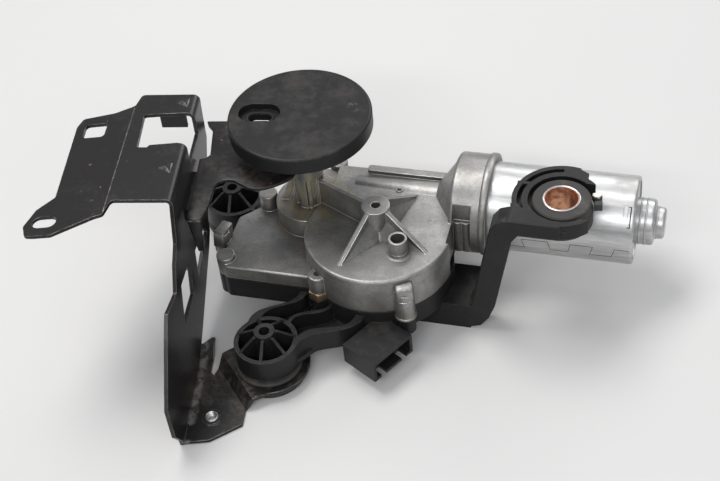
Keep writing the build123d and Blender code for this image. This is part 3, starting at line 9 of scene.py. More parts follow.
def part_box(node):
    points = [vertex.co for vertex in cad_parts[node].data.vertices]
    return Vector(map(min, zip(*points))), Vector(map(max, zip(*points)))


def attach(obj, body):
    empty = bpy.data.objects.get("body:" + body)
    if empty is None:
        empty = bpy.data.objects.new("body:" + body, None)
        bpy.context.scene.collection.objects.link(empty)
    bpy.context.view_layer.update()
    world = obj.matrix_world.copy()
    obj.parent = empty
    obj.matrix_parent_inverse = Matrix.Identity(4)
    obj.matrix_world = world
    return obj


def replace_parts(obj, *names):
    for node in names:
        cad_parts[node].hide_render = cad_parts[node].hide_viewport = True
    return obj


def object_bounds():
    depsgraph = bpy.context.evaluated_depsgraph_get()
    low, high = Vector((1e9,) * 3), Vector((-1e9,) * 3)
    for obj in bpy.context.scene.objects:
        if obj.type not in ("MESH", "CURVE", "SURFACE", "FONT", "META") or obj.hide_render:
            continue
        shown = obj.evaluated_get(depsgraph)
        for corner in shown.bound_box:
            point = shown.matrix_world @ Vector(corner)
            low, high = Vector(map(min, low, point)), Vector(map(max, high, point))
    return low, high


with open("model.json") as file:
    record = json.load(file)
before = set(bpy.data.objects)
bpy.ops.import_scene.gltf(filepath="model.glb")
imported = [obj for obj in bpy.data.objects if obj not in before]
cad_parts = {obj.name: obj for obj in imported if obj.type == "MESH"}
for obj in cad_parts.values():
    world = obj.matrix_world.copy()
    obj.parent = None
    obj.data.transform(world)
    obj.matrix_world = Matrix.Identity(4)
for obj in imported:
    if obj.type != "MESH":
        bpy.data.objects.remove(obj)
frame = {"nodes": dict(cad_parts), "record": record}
cad_box = [[float(value) for value in corner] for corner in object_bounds()]
MM = 0.001

# ------------------------------------------------------------------ places, in millimetres
drum_top = 22.0                      # upper face of the drum over the worm wheel
centre_boss = (43.6, -21.2)
locating_tube = (58.8, -37.0)
front_boss = (17.0, -51.5)
right_boss = (65.5, -56.0)
ejector_mark = (70.9, -9.9)
blind_hole = (47.9, 11.5)
motor_line = (16.0, 14.8)            # y and z of the armature's axis
case_radius = 24.0
ring_place = (141.3, -14.9)
painted_tab, plain_tab = (158.2, -5.6), (159.6, -11.0)
plate_end = (-44.0, -29.5)           # left end of the housing's plate
front_mount, rear_mount = (-3.3, -86.7), (-55.4, 18.9)
bracket_degrees = 9.5                # turn of the folded bracket against the motor
bracket_turn = math.radians(bracket_degrees)
foot_fold = -55.4                    # fold between web and foot, across the bracket's own x
foot_top = -25.9
deck_crease = -90.3                  # crease between deck and wing, likewise
deck_top = 80.0
shelf_top, sheet = 58.0, 2.0
disc_bearing = 7.6                   # degrees by which the driving slot is turned
recess_floor = 75.8
disc_underside = 70.0
disc_scuffs = ((27.0, 9.5, 5.0), (30.5, -3.5, 3.0))     # x, y and reach of each worn patch


def on_bracket(x, y):
    """A place in the bracket's own turned axes, brought into the part's axes."""
    return (x * math.cos(bracket_turn) - y * math.sin(bracket_turn),
            x * math.sin(bracket_turn) + y * math.cos(bracket_turn))


def add_object(name, data):
    thing = bpy.data.objects.new(name, data)
    bpy.context.scene.collection.objects.link(thing)
    return thing


# ------------------------------------------------------------------ camera
turn, tilt, roll = math.radians(19.0), math.radians(43.7), math.radians(6.6)
right = Vector((math.cos(turn), math.sin(turn), 0))
back = Vector((math.sin(turn) * math.cos(tilt), -math.cos(turn) * math.cos(tilt), math.sin(tilt)))
level_up = back.cross(right)
side = right * math.cos(roll) - level_up * math.sin(roll)
up = level_up * math.cos(roll) + right * math.sin(roll)
camera_data = bpy.data.cameras.new("camera")
camera_data.lens, camera_data.sensor_width = 73.5, 36.0
camera_data.clip_start = 0.05
camera = add_object("camera", camera_data)
camera_stand = Matrix((side, up, back)).transposed().to_4x4()
camera_stand.translation = Vector((0.22097, -0.56788, 0.56458))
camera.matrix_world = camera_stand
bpy.context.scene.camera = camera
bpy.context.scene.view_settings.view_transform = "Standard"


# ------------------------------------------------------------------ shader maths
class Wire:
    """A value inside a material: one output socket that can be added, multiplied and compared."""

    def __init__(self, nodes, socket):
        self.nodes = nodes
        self.socket = socket

    def __add__(self, other):
        return self.nodes.math("ADD", self, other)

    def __sub__(self, other):
        return self.nodes.math("SUBTRACT", self, other)

    def __rsub__(self, other):
        return self.nodes.math("SUBTRACT", other, self)

    def __mul__(self, other):
        return self.nodes.math("MULTIPLY", self, other)

    def __pow__(self, other):
        return self.nodes.math("POWER", self, other)

    __radd__ = __add__
    __rmul__ = __mul__

    def higher(self, other):
        return self.nodes.math("MAXIMUM", self, other)

    def size(self):
        return self.nodes.math("ABSOLUTE", self)

    def ramp(self, low, high, start=0.0, end=1.0):
        """Runs smoothly from start at low to end at high."""
        return self.nodes.node(
            "ShaderNodeMapRange",
            {"Value": self, "From Min": low, "From Max": high, "To Min": start, "To Max": end},
            interpolation_type="SMOOTHSTEP")


class Nodes:
    """A node tree of a material or of the world."""

    def __init__(self, tree):
        self.tree = tree

    def node(self, kind, inputs, output=0, **settings):
        """Adds a node: first its settings, then the values and links of its sockets."""
        made = self.tree.nodes.new(kind)
        for key, value in settings.items():
            setattr(made, key, value)
        for key, value in inputs.items():
            if isinstance(value, Wire):
                self.tree.links.new(value.socket, made.inputs[key])
            else:
                made.inputs[key].default_value = value
        return Wire(self, made.outputs[output])

    def math(self, operation, first, second=0.0):
        return self.node("ShaderNodeMath", {0: first, 1: second}, operation=operation)


class Shader(Nodes):
    """A procedural material whose colours and bumps follow the part's own millimetres."""

    def __init__(self, name, edge=0.5):
        self.material = bpy.data.materials.new(name)
        self.material.use_nodes = True
        super().__init__(self.material.node_tree)
        self.surface = self.tree.nodes["Principled BSDF"]
        self.place = self.stretched(self.node("ShaderNodeTexCoord", {}, "Object"), (1 / MM,) * 3)
        self.x, self.y, self.z = (self.node("ShaderNodeSeparateXYZ", {0: self.place}, axis)
                                  for axis in range(3))
        self.flat = self.node("ShaderNodeNewGeometry", {}, "Normal")
        self.round = self.node("ShaderNodeBevel", {"Radius": edge * MM}, samples=6)
        self.finish(Normal=self.round)

    def stretched(self, place, factors):
        return self.node("ShaderNodeVectorMath", {0: place, 1: factors}, operation="MULTIPLY")

    def noise(self, grain, detail=3.0, rough=0.55, place=None):
        """Cloudy values about 0.5, with features about grain millimetres wide."""
        return self.node("ShaderNodeTexNoise", {"Vector": place or self.place, "Scale": 1 / grain,
                                                "Detail": detail, "Roughness": rough})

    def cells(self, grain):
        """Distance to scattered points about grain millimetres apart."""
        return self.node("ShaderNodeTexVoronoi", {"Vector": self.place, "Scale": 1 / grain})

    def distance(self, x, y):
        """Distance in millimetres from the upright line at x, y."""
        return self.math("SQRT", (self.x - x) ** 2.0 + (self.y - y) ** 2.0)

    def facing(self):
        """1 on a surface that faces up, 0 on an upright one and -1 underneath."""
        return self.node("ShaderNodeSeparateXYZ", {0: self.flat}, 2)

    def edges(self, low=0.02, high=0.30):
        """1 along the part's edges and creases and 0 on its open surfaces."""
        alike = self.node("ShaderNodeVectorMath", {0: self.round, 1: self.flat}, 1,
                          operation="DOT_PRODUCT")
        return (1.0 - alike).ramp(low, high)

    def corners(self, reach):
        """1 deep in a corner and 0 in the open, looking reach millimetres around."""
        return 1.0 - self.node("ShaderNodeAmbientOcclusion", {"Distance": reach * MM}, 1, samples=6)

    def blend(self, factor, first, second):
        """Mixes two colours: the first where factor is 0 and the second where it is 1."""
        first, second = (tone if isinstance(tone, Wire) else (*tone, 1.0)
                         for tone in (first, second))
        return self.node("ShaderNodeMix", {0: factor, 6: first, 7: second}, 2, data_type="RGBA")

    def bump(self, height, depth, strength):
        """Relief of depth millimetres where height runs from 0 to 1, over any relief so far."""
        below = Wire(self, self.surface.inputs["Normal"].links[0].from_socket)
        self.finish(Normal=self.node("ShaderNodeBump", {
            "Height": height, "Distance": depth * MM, "Strength": strength, "Normal": below}))

    def finish(self, **values):
        """Sets the surface's sockets, with _ for a space in their names."""
        for key, value in values.items():
            socket = self.surface.inputs[key.replace("_", " ")]
            if isinstance(value, Wire):
                self.tree.links.new(value.socket, socket)
            else:
                socket.default_value = value


# ------------------------------------------------------------------ finishes
def cast_aluminium():
    """Die-cast skin: mottled, worn bright on its edges and lightened there as painted highlight,
    darker towards the bottom, with painted shade in its corners, greasy round the output shaft.
    """
    dull, fresh, rubbed_and_highlight = (0.27, 0.265, 0.26), (0.37, 0.365, 0.355), (0.96, 0.95, 0.92)
    mottle, pits, smear = (0.19, 0.185, 0.175), (0.15, 0.145, 0.135), (0.22, 0.21, 0.19)
    old_grease, low_down_tone, painted_corner_shade = (0.46, 0.36, 0.14), (0.24, 0.22, 0.19), (0.075, 0.07, 0.058)
    s = Shader("cast_aluminium", 0.8)
    broad = s.noise(16, 4)
    fine = s.noise(1.7, 4)
    skin = s.noise(0.5, 2)
    edge = s.edges()
    corner = s.corners(9).ramp(0.16, 0.62)
    colour = s.blend(broad.ramp(0.36, 0.64), dull, fresh)
    colour = s.blend(fine.ramp(0.50, 0.72) * 0.5, colour, mottle)
    colour = s.blend(s.noise(0.9, 2, 0.7).ramp(0.48, 0.70) * 0.35, colour, pits)
    colour = s.blend(s.noise(9, 5, 0.6).ramp(0.50, 0.68) * 0.45, colour, smear)
    near_shaft = (25.0 - s.distance(0, 0) + s.noise(7, 4) * 22 - 11).ramp(0.0, 9.0)
    grease = near_shaft * s.noise(5, 5, 0.62).ramp(0.44, 0.62) * (corner * 0.5 + 0.5)
    colour = s.blend(grease * 0.9, colour, old_grease)
    # darker towards the bottom, with a noisy boundary
    low_down = (7.0 - s.z + s.noise(9, 4) * 14 - 7).ramp(0.0, 8.0)
    colour = s.blend(low_down * 0.55, colour, low_down_tone)
    # painted shade: near-black mixed in where corners and creases are deep
    colour = s.blend(corner * 0.7, colour, painted_corner_shade)
    # edges lightened near white: partly worn metal, partly painted highlight
    colour = s.blend(edge * (1.0 - corner * 0.25), colour, rubbed_and_highlight)
    s.finish(Base_Color=colour, Metallic=0.8,
             Roughness=(0.33 + fine * 0.22 + corner * 0.2) - edge * 0.16)
    s.bump(skin, 0.05, 0.6)
    s.bump(fine, 0.10, 0.45)
    return s.material


def galvanised():
    """Zinc with drawing streaks along the motor case, spangle and dull stains."""
    shade, zinc, shine = (0.47, 0.475, 0.475), (0.62, 0.62, 0.615), (0.80, 0.80, 0.79)
    s = Shader("galvanised_steel", 0.4)
    streak = s.noise(2.2, 4, place=s.stretched(s.place, (0.12, 1, 1)))
    stain = s.noise(16, 5).ramp(0.54, 0.72)
    colour = s.blend(streak.ramp(0.35, 0.7), shade, zinc)
    colour = s.blend(s.cells(5.0).ramp(0.2, 0.9) * 0.2, colour, (0.44, 0.44, 0.44))
    colour = s.blend(stain * 0.45, colour, (0.33, 0.31, 0.28))
    colour = s.blend(s.edges() * 0.6, colour, shine)
    s.finish(Base_Color=colour, Metallic=0.92, Roughness=0.32 + streak * 0.14 + stain * 0.14)
    s.bump(streak, 0.03, 0.5)
    return s.material


def bright_steel(name="bright_steel", tone=(0.60, 0.60, 0.60)):
    s = Shader(name, 0.25)
    grain = s.noise(1.0, 3)
    stain = s.noise(6, 4).ramp(0.55, 0.75)
    colour = s.blend(stain * 0.5, tone, tuple(value * 0.55 for value in tone))
    s.finish(Base_Color=colour, Metallic=0.95, Roughness=0.24 + grain * 0.2)
    s.bump(grain, 0.02, 0.4)
    return s.material


def moulded(name, tone, dust, dust_tone, rough=0.44, edge_tone=None):
    """Moulded plastic or rubber with a fine grain, edges lightened partly by wear and partly as
    painted highlight, and a little settled dust.
    """
    s = Shader(name, 0.4)
    grain = s.noise(0.45, 2)
    wisps = s.noise(5, 5, 0.65)
    cloud = (s.noise(24, 5) * 0.6 + wisps * 0.4).ramp(0.47, 0.68)
    settled = cloud * (s.facing().ramp(-0.1, 0.9) * 0.8 + 0.2)
    speck = (1.0 - s.cells(3.6)).ramp(0.90, 0.97) * wisps.ramp(0.48, 0.6)
    colour = s.blend((settled * dust).higher(speck * dust), tone, dust_tone)
    if edge_tone:
        s.finish(Specular_IOR_Level=0.24)
        flecks = s.noise(0.7, 2, 0.7).ramp(0.60, 0.74) * wisps.ramp(0.40, 0.62)
        colour = s.blend(flecks * 0.35, colour, (0.10, 0.095, 0.09))
        wide, narrow = (reach - s.distance(x, y) for x, y, reach in disc_scuffs)
        touched = wide.higher(narrow).ramp(0.0, 2.5) * (s.z - disc_underside).ramp(0.0, 1.0)
        scuff = s.noise(2.6, 5, 0.7).ramp(0.50, 0.66) * touched
        colour = s.blend(scuff * 0.3, colour, (0.20, 0.19, 0.18))
        # edges lightened: partly worn, partly painted highlight
        rubbed_and_highlight = s.edges() * s.noise(3.5, 4).ramp(0.40, 0.60)
        colour = s.blend(rubbed_and_highlight * 0.8, colour, edge_tone)
    s.finish(Base_Color=colour, Roughness=rough + settled * 0.18)
    s.bump(grain, 0.035, 0.5)
    return s.material


def coated_steel(name="coated_steel", scuffs=0.0, film=0.0):
    """Black coat on pressed steel, worn at the edges: film spreads the dust up from the foot."""
    coat, dust_tone, cake_tone = (0.010, 0.009, 0.0095), (0.12, 0.10, 0.08), (0.36, 0.28, 0.20)
    rust, bare = (0.20, 0.085, 0.035), (0.36, 0.34, 0.31)
    s = Shader(name, 0.7)
    orange_peel = s.noise(0.9, 2)
    up = s.facing().ramp(0.0, 0.9)
    low = (s.z * -1.0 + s.noise(12, 3) * 16 - 8).ramp(-6, 14).higher(film)
    cloud = (s.noise(30, 5) * 0.5 + s.noise(3.0, 5, 0.65) * 0.5).ramp(0.46, 0.68)
    dust = cloud * (up * 0.7 + 0.3) * (0.25 + low * 0.75)
    colour = s.blend(dust * 0.42, coat, dust_tone)
    cake = s.noise(3.2, 6, 0.75).ramp(0.60, 0.72) * s.noise(14, 3).ramp(0.48, 0.62) * low * up
    colour = s.blend(cake * 0.45, colour, cake_tone)
    spots = (1.0 - s.cells(8.5)).ramp(0.86, 0.94) * s.noise(2, 3).ramp(0.50, 0.62)
    colour = s.blend(spots * 0.75, colour, rust)
    worn = s.edges(0.03, 0.22) * s.noise(5, 4, 0.6).ramp(0.36, 0.58)
    across = s.x * math.cos(bracket_turn) + s.y * math.sin(bracket_turn) - foot_fold
    fold = (across + s.noise(2.5, 4) * 2 - 1).size().ramp(3.4, 0.4)
    fold = fold * (s.z * -1.0).ramp(23.5, 26.0) * s.noise(11, 4, 0.6).ramp(0.44, 0.56)
    worn = worn.higher(fold * 0.8)
    if scuffs:
        worn = worn.higher(s.noise(4.0, 4, 0.6).ramp(0.34, 0.72) * scuffs)
    colour = s.blend(worn * 0.75, colour, bare)
    s.finish(Base_Color=colour, Metallic=worn * 0.7, Specular_IOR_Level=0.34,
             Roughness=0.27 + dust * 0.3 + spots * 0.2 + orange_peel * 0.06)
    s.bump(orange_peel, 0.03, 0.35)
    s.bump(spots, 0.06, 0.6)
    return s.material


def copper(name="copper", tone=(0.60, 0.30, 0.18)):
    s = Shader(name, 0.25)
    tarnish = s.noise(3.5, 5, 0.6).ramp(0.42, 0.66)
    colour = s.blend(tarnish * 0.65, tone, (0.24, 0.12, 0.075))
    colour = s.blend(s.edges(0.05, 0.4), colour, (0.80, 0.72, 0.66))
    s.finish(Base_Color=colour, Metallic=0.9, Roughness=0.28 + tarnish * 0.3)
    s.bump(tarnish, 0.03, 0.4)
    return s.material


def painted_rubber():
    """Rubber of the ring's tabs, with the dab of pale paint that marks one of them."""
    s = Shader("painted_rubber", 0.4)
    grain = s.noise(0.8, 3)
    dab_x, dab_y, dab_radius = painted_tab[0], painted_tab[1] + 0.4, 2.6
    near_dab = (dab_radius - s.distance(dab_x, dab_y) + grain * 1.6 - 0.8).ramp(0.0, 0.4)
    dab = near_dab * s.z.ramp(48.6, 49.4)
    s.finish(Base_Color=s.blend(dab, (0.030, 0.029, 0.028), (0.70, 0.66, 0.64)),
             Roughness=0.6 - dab * 0.15)
    s.bump(grain, 0.05, 0.5)
    return s.material


finishes = {
    "cast_aluminium": cast_aluminium(),
    "galvanised_steel": galvanised(),
    "bright_steel": bright_steel(),
    "tin_plated": bright_steel("tin_plated", (0.68, 0.66, 0.60)),
    "lamination_steel": bright_steel("lamination_steel", (0.30, 0.31, 0.33)),
    "bearing_bronze": copper("bearing_bronze", (0.50, 0.36, 0.18)),
    "copper": copper(),
    "enamelled_wire": copper("enamelled_wire", (0.46, 0.17, 0.07)),
    "black_plastic": moulded("black_plastic", (0.011, 0.011, 0.0115), 0.16, (0.15, 0.135, 0.12),
                             0.42, (0.13, 0.125, 0.12)),
    "dark_plastic": moulded("dark_plastic", (0.017, 0.017, 0.018), 0.16, (0.11, 0.10, 0.095),
                            0.5, (0.11, 0.105, 0.10)),
    "damper_rubber": moulded("damper_rubber", (0.042, 0.040, 0.038), 0.45, (0.16, 0.15, 0.135),
                             0.6, (0.14, 0.13, 0.12)),
    "seal_rubber": moulded("seal_rubber", (0.02, 0.02, 0.02), 0.2, (0.1, 0.1, 0.1), 0.7),
    "gear_plastic": moulded("gear_plastic", (0.66, 0.64, 0.56), 0.1, (0.4, 0.36, 0.26), 0.4),
    "bearing_plastic": moulded("bearing_plastic", (0.62, 0.62, 0.60), 0.1, (0.4, 0.36, 0.3), 0.4),
    "board_green": moulded("board_green", (0.03, 0.13, 0.06), 0.15, (0.15, 0.16, 0.12), 0.35),
    "ferrite": moulded("ferrite", (0.06, 0.06, 0.062), 0.2, (0.12, 0.12, 0.12), 0.55),
    "carbon": moulded("carbon", (0.03, 0.03, 0.03), 0.2, (0.08, 0.08, 0.08), 0.5),
    "coated_steel": coated_steel(),
    "scuffed_steel": coated_steel("scuffed_steel", scuffs=0.5),
    "dusty_steel": coated_steel("dusty_steel", film=0.55),
    "worn_line": coated_steel("worn_line", scuffs=0.75),
    "brassy_steel": copper("brassy_steel", (0.42, 0.34, 0.20)),
    "painted_rubber": painted_rubber(),
    "shadow": moulded("shadow", (0.006, 0.006, 0.006), 0.05, (0.02, 0.02, 0.02), 0.7),
}
slot_of = {entry["node"]: entry["material_slot"] for entry in frame["record"]["subparts"]}
for name, node in frame["nodes"].items():
    node.data.materials.clear()
    node.data.materials.append(finishes[slot_of[name]])


# ------------------------------------------------------------------ tools for new pieces
def edges_of(verts):
    """The edges that meet these verts, each once."""
    return list(dict.fromkeys(line for vert in verts for line in vert.link_edges))


class Piece:
    """A new piece, shaped in millimetres by operators on its bmesh and then settled in metres."""

    def __init__(self, name, slot, finish, body="base"):
        self.thing = add_object(name, bpy.data.meshes.new(name))
        self.thing.data.materials.append(finishes[finish])
        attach(self.thing, body)
        self.shape = bmesh.new()

    def turn(self, degrees, axis="Z", verts=None):
        bmesh.ops.rotate(self.shape, verts=verts or self.shape.verts, cent=(0, 0, 0),
                         matrix=Matrix.Rotation(math.radians(degrees), 3, axis))

    def move(self, place, verts=None):
        bmesh.ops.translate(self.shape, verts=verts or self.shape.verts, vec=place)

    def lay_on_motor(self):
        """Lays rings that were spun about Z down onto the motor's axis."""
        self.turn(90, "Y")
        self.move((0, *motor_line))

    def soften(self, lines, edge, segments=2):
        return bmesh.ops.bevel(self.shape, geom=lines, offset=edge, segments=segments, profile=0.5,
                               affect="EDGES", material=-1)

    def cube(self, size):
        made = bmesh.ops.create_cube(self.shape, size=1.0)["verts"]
        bmesh.ops.scale(self.shape, verts=made, vec=size)
        return made

    def cone(self, segments, low_radius, high_radius, height):
        return bmesh.ops.create_cone(self.shape, cap_ends=True, segments=segments,
                                     radius1=low_radius, radius2=high_radius,
                                     depth=height)["verts"]

    def ring(self, place, profile, segments=48):
        """Spins a closed profile of (radius, height) points about an upright axis at place."""
        line = [self.shape.verts.new((place[0] + radius, place[1], height))
                for radius, height in profile]
        sides = [self.shape.edges.new(pair) for pair in zip(line, line[1:] + line[:1])]
        bmesh.ops.spin(self.shape, geom=line + sides, cent=(*place, 0), axis=(0, 0, 1),
                       dvec=(0, 0, 0), angle=math.tau, steps=segments, use_merge=True,
                       use_duplicate=False)

    def block(self, size, place, degrees=0.0, edge=0.4, segments=2):
        """A box of the given size about place, turned about Z, with rounded edges."""
        made = self.cube(size)
        rounded = self.soften(edges_of(made), edge, segments)
        verts = list(dict.fromkeys(vert for face in rounded["faces"] for vert in face.verts))
        verts += [vert for vert in made if vert.is_valid and vert not in verts]
        self.turn(degrees, verts=verts)
        self.move(place, verts)
        return verts

    def settle(self, sharp_degrees=40.0):
        """Merges and scales the shape, turns its faces outwards and hands it to the scene."""
        bmesh.ops.remove_doubles(self.shape, verts=self.shape.verts, dist=0.001)
        bmesh.ops.recalc_face_normals(self.shape, faces=self.shape.faces)
        bmesh.ops.scale(self.shape, verts=self.shape.verts, vec=(MM, MM, MM))
        for face in self.shape.faces:
            face.smooth = True
        self.shape.to_mesh(self.thing.data)
        self.shape.free()
        self.thing.data.set_sharp_from_angle(angle=math.radians(sharp_degrees))
        return self.thing


# ------------------------------------------------------------------ details of the casting
# webs that run from the centre boss down to the drum, thick at the foot and thin along the ridge
web_start, web_top, web_ridge, web_spread = 4.5, 39.4, 1.6, 7.0
webs = Piece("boss_webs", "cast_aluminium", "cast_aluminium")
for bearing, reach in ((-115.0, 33.6), (-23.5, 33.6), (64.3, 34.6)):
    grid = bmesh.ops.create_grid(webs.shape, x_segments=14, y_segments=12, size=0.5)["verts"]
    border = [line for line in edges_of(grid) if line.is_boundary]
    for vert in grid:
        along, across = vert.co.x + 0.5, vert.co.y * 2
        half_width = web_ridge + web_spread * (1 - along) ** 1.3
        ridge = web_top - (web_top - drum_top) * along
        sink = abs(across) ** 0.72
        vert.co = (web_start + (reach - web_start) * along, across * half_width,
                   ridge - (ridge - drum_top + 0.5) * sink)
    skirt = bmesh.ops.extrude_edge_only(webs.shape, edges=border)["geom"]
    lowered = [part for part in skirt if isinstance(part, bmesh.types.BMVert)]
    for vert in lowered:
        vert.co.z = drum_top - 1.2
    bmesh.ops.holes_fill(webs.shape, edges=[part for part in skirt
                                            if isinstance(part, bmesh.types.BMEdge)])
    webs.turn(bearing, verts=grid + lowered)
    webs.move((*centre_boss, 0), grid + lowered)
webs.settle()

# flared feet of the centre boss and of the locating tube
feet = Piece("boss_feet", "cast_aluminium", "cast_aluminium")
feet.ring(centre_boss, [(6.9, 21.2), (9.6, 21.2), (9.6, 22.05), (8.6, 22.5), (7.95, 23.6),
                        (7.65, 25.5), (7.6, 27.0), (6.9, 27.0)])
feet.ring(locating_tube, [(4.5, 21.2), (6.6, 21.2), (6.6, 22.05), (5.6, 22.4), (5.15, 23.2),
                          (5.0, 24.6), (4.5, 24.6)])
feet.settle()

# ejector mark on the drum, the lip of the blind hole, and dark plugs of painted shade in the blind
# holes
marks = Piece("casting_marks", "cast_aluminium", "cast_aluminium")
marks.ring(ejector_mark, [(0.9, 21.9), (0.95, 22.16), (1.45, 22.22), (2.0, 22.16), (2.2, 21.9)], 32)
marks.ring(blind_hole, [(1.35, 21.4), (1.35, 22.7), (1.65, 22.85), (2.1, 22.5), (2.2, 21.4)], 32)
marks.settle()
# near-black plugs that fill the holes: painted shade
holes = Piece("blind_hole", "cast_aluminium", "shadow")
holes.ring(blind_hole, [(0.0, 21.6), (1.37, 21.6), (1.37, 22.62), (0.0, 22.62)], 32)
holes.ring(front_boss, [(0.0, 13.0), (1.9, 13.0), (1.9, 14.06), (0.0, 14.06)], 32)
holes.settle()

# six-sided spacer under the front boss
spacer = Piece("boss_spacer", "bearing_bronze", "brassy_steel")
spacer_radius, spacer_height = 6.3, 5.6
spacer.cone(6, spacer_radius, spacer_radius, spacer_height)
spacer.soften(spacer.shape.edges[:], 0.6)
spacer.turn(9)
spacer.move((*front_boss, 0.4))
spacer.settle()

# squared top of the right-hand boss, and the slanted wedge at the left end of the plate
squared = Piece("boss_block", "cast_aluminium", "cast_aluminium")
squared.block((9.6, 8.6, 9.5), (*right_boss, 14.0), 20.0, 1.5, 3)
squared.settle()
wedge_foot, wedge_lean = 10, 0.55
wedge = Piece("plate_wedge", "cast_aluminium", "cast_aluminium")
for vert in wedge.block((6.5, 11.0, 8.5), (*plate_end, 11.0), -12.0, 0.9):
    if vert.co.z > wedge_foot:
        vert.co.y += (vert.co.z - wedge_foot) * wedge_lean
wedge.settle()

# flange ring at the mouth of the housing, where the motor case goes in
flange = Piece("collar_flange", "cast_aluminium", "cast_aluminium")
flange.ring((0, 0), [(26.8, 95.4), (27.9, 95.9), (28.35, 96.6), (28.35, 99.2), (27.9, 99.8),
                     (26.8, 99.8)], 96)
flange.lay_on_motor()
flange.settle()

# ------------------------------------------------------------------ foot of the bracket
thread_pitch, thread_start, thread_root, thread_tip = 0.8, -28.6, 2.75, 2.2
foot_hole = on_bracket(-44.4, -119.5)
# turns of the thread, and the collar drawn up round it
thread = Piece("foot_thread", "bright_steel", "bright_steel")
for turn_number in range(4):
    height = thread_start + turn_number * thread_pitch
    thread.ring(foot_hole, [(thread_tip, height + thread_pitch / 2), (thread_root, height),
                            (thread_root, height + thread_pitch)], 40)
thread.ring(foot_hole, [(2.5, foot_top), (2.5, -25.3), (2.9, -25.0), (3.5, -25.3),
                        (3.7, foot_top)], 40)
thread.settle()

# stiffening darts pressed across the fold between foot and web
darts = Piece("foot_darts", "coated_steel", "scuffed_steel")
for x, y in ((-39.7, -96.0), (-35.2, -122.5)):
    dart = darts.cone(24, 4.6, 0.5, 4.6)
    bmesh.ops.scale(darts.shape, verts=dart, vec=(0.70, 0.50, 0.8))
    darts.turn(12.0, verts=dart)
    darts.move((x, y, -25.4), dart)
darts.settle()

# ------------------------------------------------------------------ tabs of the ring's rubber
# one of them carries a dab of paint
tabs = Piece("damper_tabs", "damper_rubber", "painted_rubber")
tabs.block((4.6, 4.0, 4.4), (*painted_tab, 47.8), 30.0, 0.5)
tabs.block((4.2, 3.4, 4.4), (*plain_tab, 47.2), 8.0, 0.5)
tabs.settle()


# ------------------------------------------------------------------ motor case
def on_case(piece, x, degrees, size, out=0.0, slope=0.0):
    """A small block on the motor case: size runs along the case, outwards and round it."""
    made = piece.cube(size)
    piece.turn(slope, "Y", made)
    piece.turn(degrees, "X", made)
    angle, reach = math.radians(degrees), case_radius + out
    piece.move((x, motor_line[0] + reach * math.cos(angle),
                motor_line[1] + reach * math.sin(angle)), made)


# slit near the end of the case, as dark blocks of painted shade, with its bright lip, in short
# steps round the case
slit_steps, slit_x, slit_lip_x, slit_start, slit_span = 12, 175.3, 174.7, 123.0, 23.5
# near-black blocks in the slit: painted shade
slit = Piece("case_slit", "galvanised_steel", "shadow")
for step in range(slit_steps):
    on_case(slit, slit_x, slit_start + step * slit_span / (slit_steps - 1), (0.55, 0.16, 1.0))
for degrees in (slit_start - 1.4, slit_start + slit_span + 1.4):
    on_case(slit, slit_lip_x, degrees, (1.7, 0.16, 0.45))
slit.settle()
slit_lip = Piece("case_slit_lip", "galvanised_steel", "bright_steel")
for step in range(slit_steps):
    on_case(slit_lip, slit_lip_x, slit_start + 0.2 + step * (slit_span - 0.5) / (slit_steps - 1),
            (0.5, 0.2, 1.0))
slit_lip.settle()

# tongues of the end cap that fill the four crimp windows
window_x, first_window, tongue_step = 172.6, 38.0, 2.36
tongues = Piece("crimp_tongues", "galvanised_steel", "galvanised_steel")
for quarter in range(4):
    for step in range(-3, 4):
        on_case(tongues, window_x, first_window + 90 * quarter + step * tongue_step,
                (2.16, 1.0, 1.05), -0.52)
tongues.settle()

# dovetail joint of the rolled tube, as places along the case and heights on its lower front
joint_high, joint_low, slant_parts, joint_overlap = 14.3, 7.8, 6, 0.05
joint_line = [(104.0, joint_high), (112.0, joint_high), (110.4, joint_low), (120.5, joint_low),
              (119.0, joint_high), (133.0, joint_high), (134.6, joint_low), (143.8, joint_low),
              (145.2, joint_high), (157.0, joint_high), (155.4, joint_low), (166.9, joint_low),
              (168.5, joint_high), (176.0, joint_high)]
joint = Piece("case_joint", "galvanised_steel", "shadow")
for (start_x, start_z), (end_x, end_z) in zip(joint_line, joint_line[1:]):
    run, rise = end_x - start_x, end_z - start_z
    parts = slant_parts if rise else 1
    for part_number in range(parts):
        middle = (part_number + 0.5) / parts
        height = start_z + rise * middle - motor_line[1]
        on_case(joint, start_x + run * middle, 180 - math.degrees(math.asin(height / case_radius)),
                (math.hypot(run, rise) / parts + joint_overlap, 0.12, 0.26),
                slope=math.degrees(math.atan2(rise, run)))
joint.settle()

# beads rolled into the step and the nose of the end cap
beads = Piece("cap_beads", "galvanised_steel", "galvanised_steel")
for x, radius in ((179.6, 12.5), (182.6, 12.5), (188.6, 8.5)):
    beads.ring((0, 0), [(radius - 0.8, x - 0.75), (radius + 0.15, x - 0.5), (radius + 0.38, x),
                        (radius + 0.15, x + 0.5), (radius - 0.8, x + 0.75)], 64)
beads.lay_on_motor()
beads.settle()

# ------------------------------------------------------------------ rubber-mounted ring
# grommet: a collar that stands clear of the ring, on a wider foot
grommet = Piece("ring_grommet", "damper_rubber", "damper_rubber")
grommet.ring(ring_place, [(9.42, 38.1), (9.42, 52.7), (9.7, 53.0), (14.5, 53.0), (15.2, 52.4),
                          (15.5, 48.0), (15.8, 46.6), (16.2, 46.1), (16.3, 45.4), (16.3, 39.0),
                          (15.6, 38.1)], 72)
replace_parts(grommet.settle(), "ring_damper")
sleeve_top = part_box("ring_sleeve")[1][2] / MM
sleeve_rim = Piece("sleeve_rim", "bright_steel", "bright_steel")
sleeve_rim.ring(ring_place, [(8.55, sleeve_top - 0.9), (8.9, sleeve_top + 0.12),
                             (9.35, sleeve_top + 0.3), (9.8, sleeve_top + 0.1),
                             (9.9, sleeve_top - 0.4)], 64)
sleeve_rim.settle()

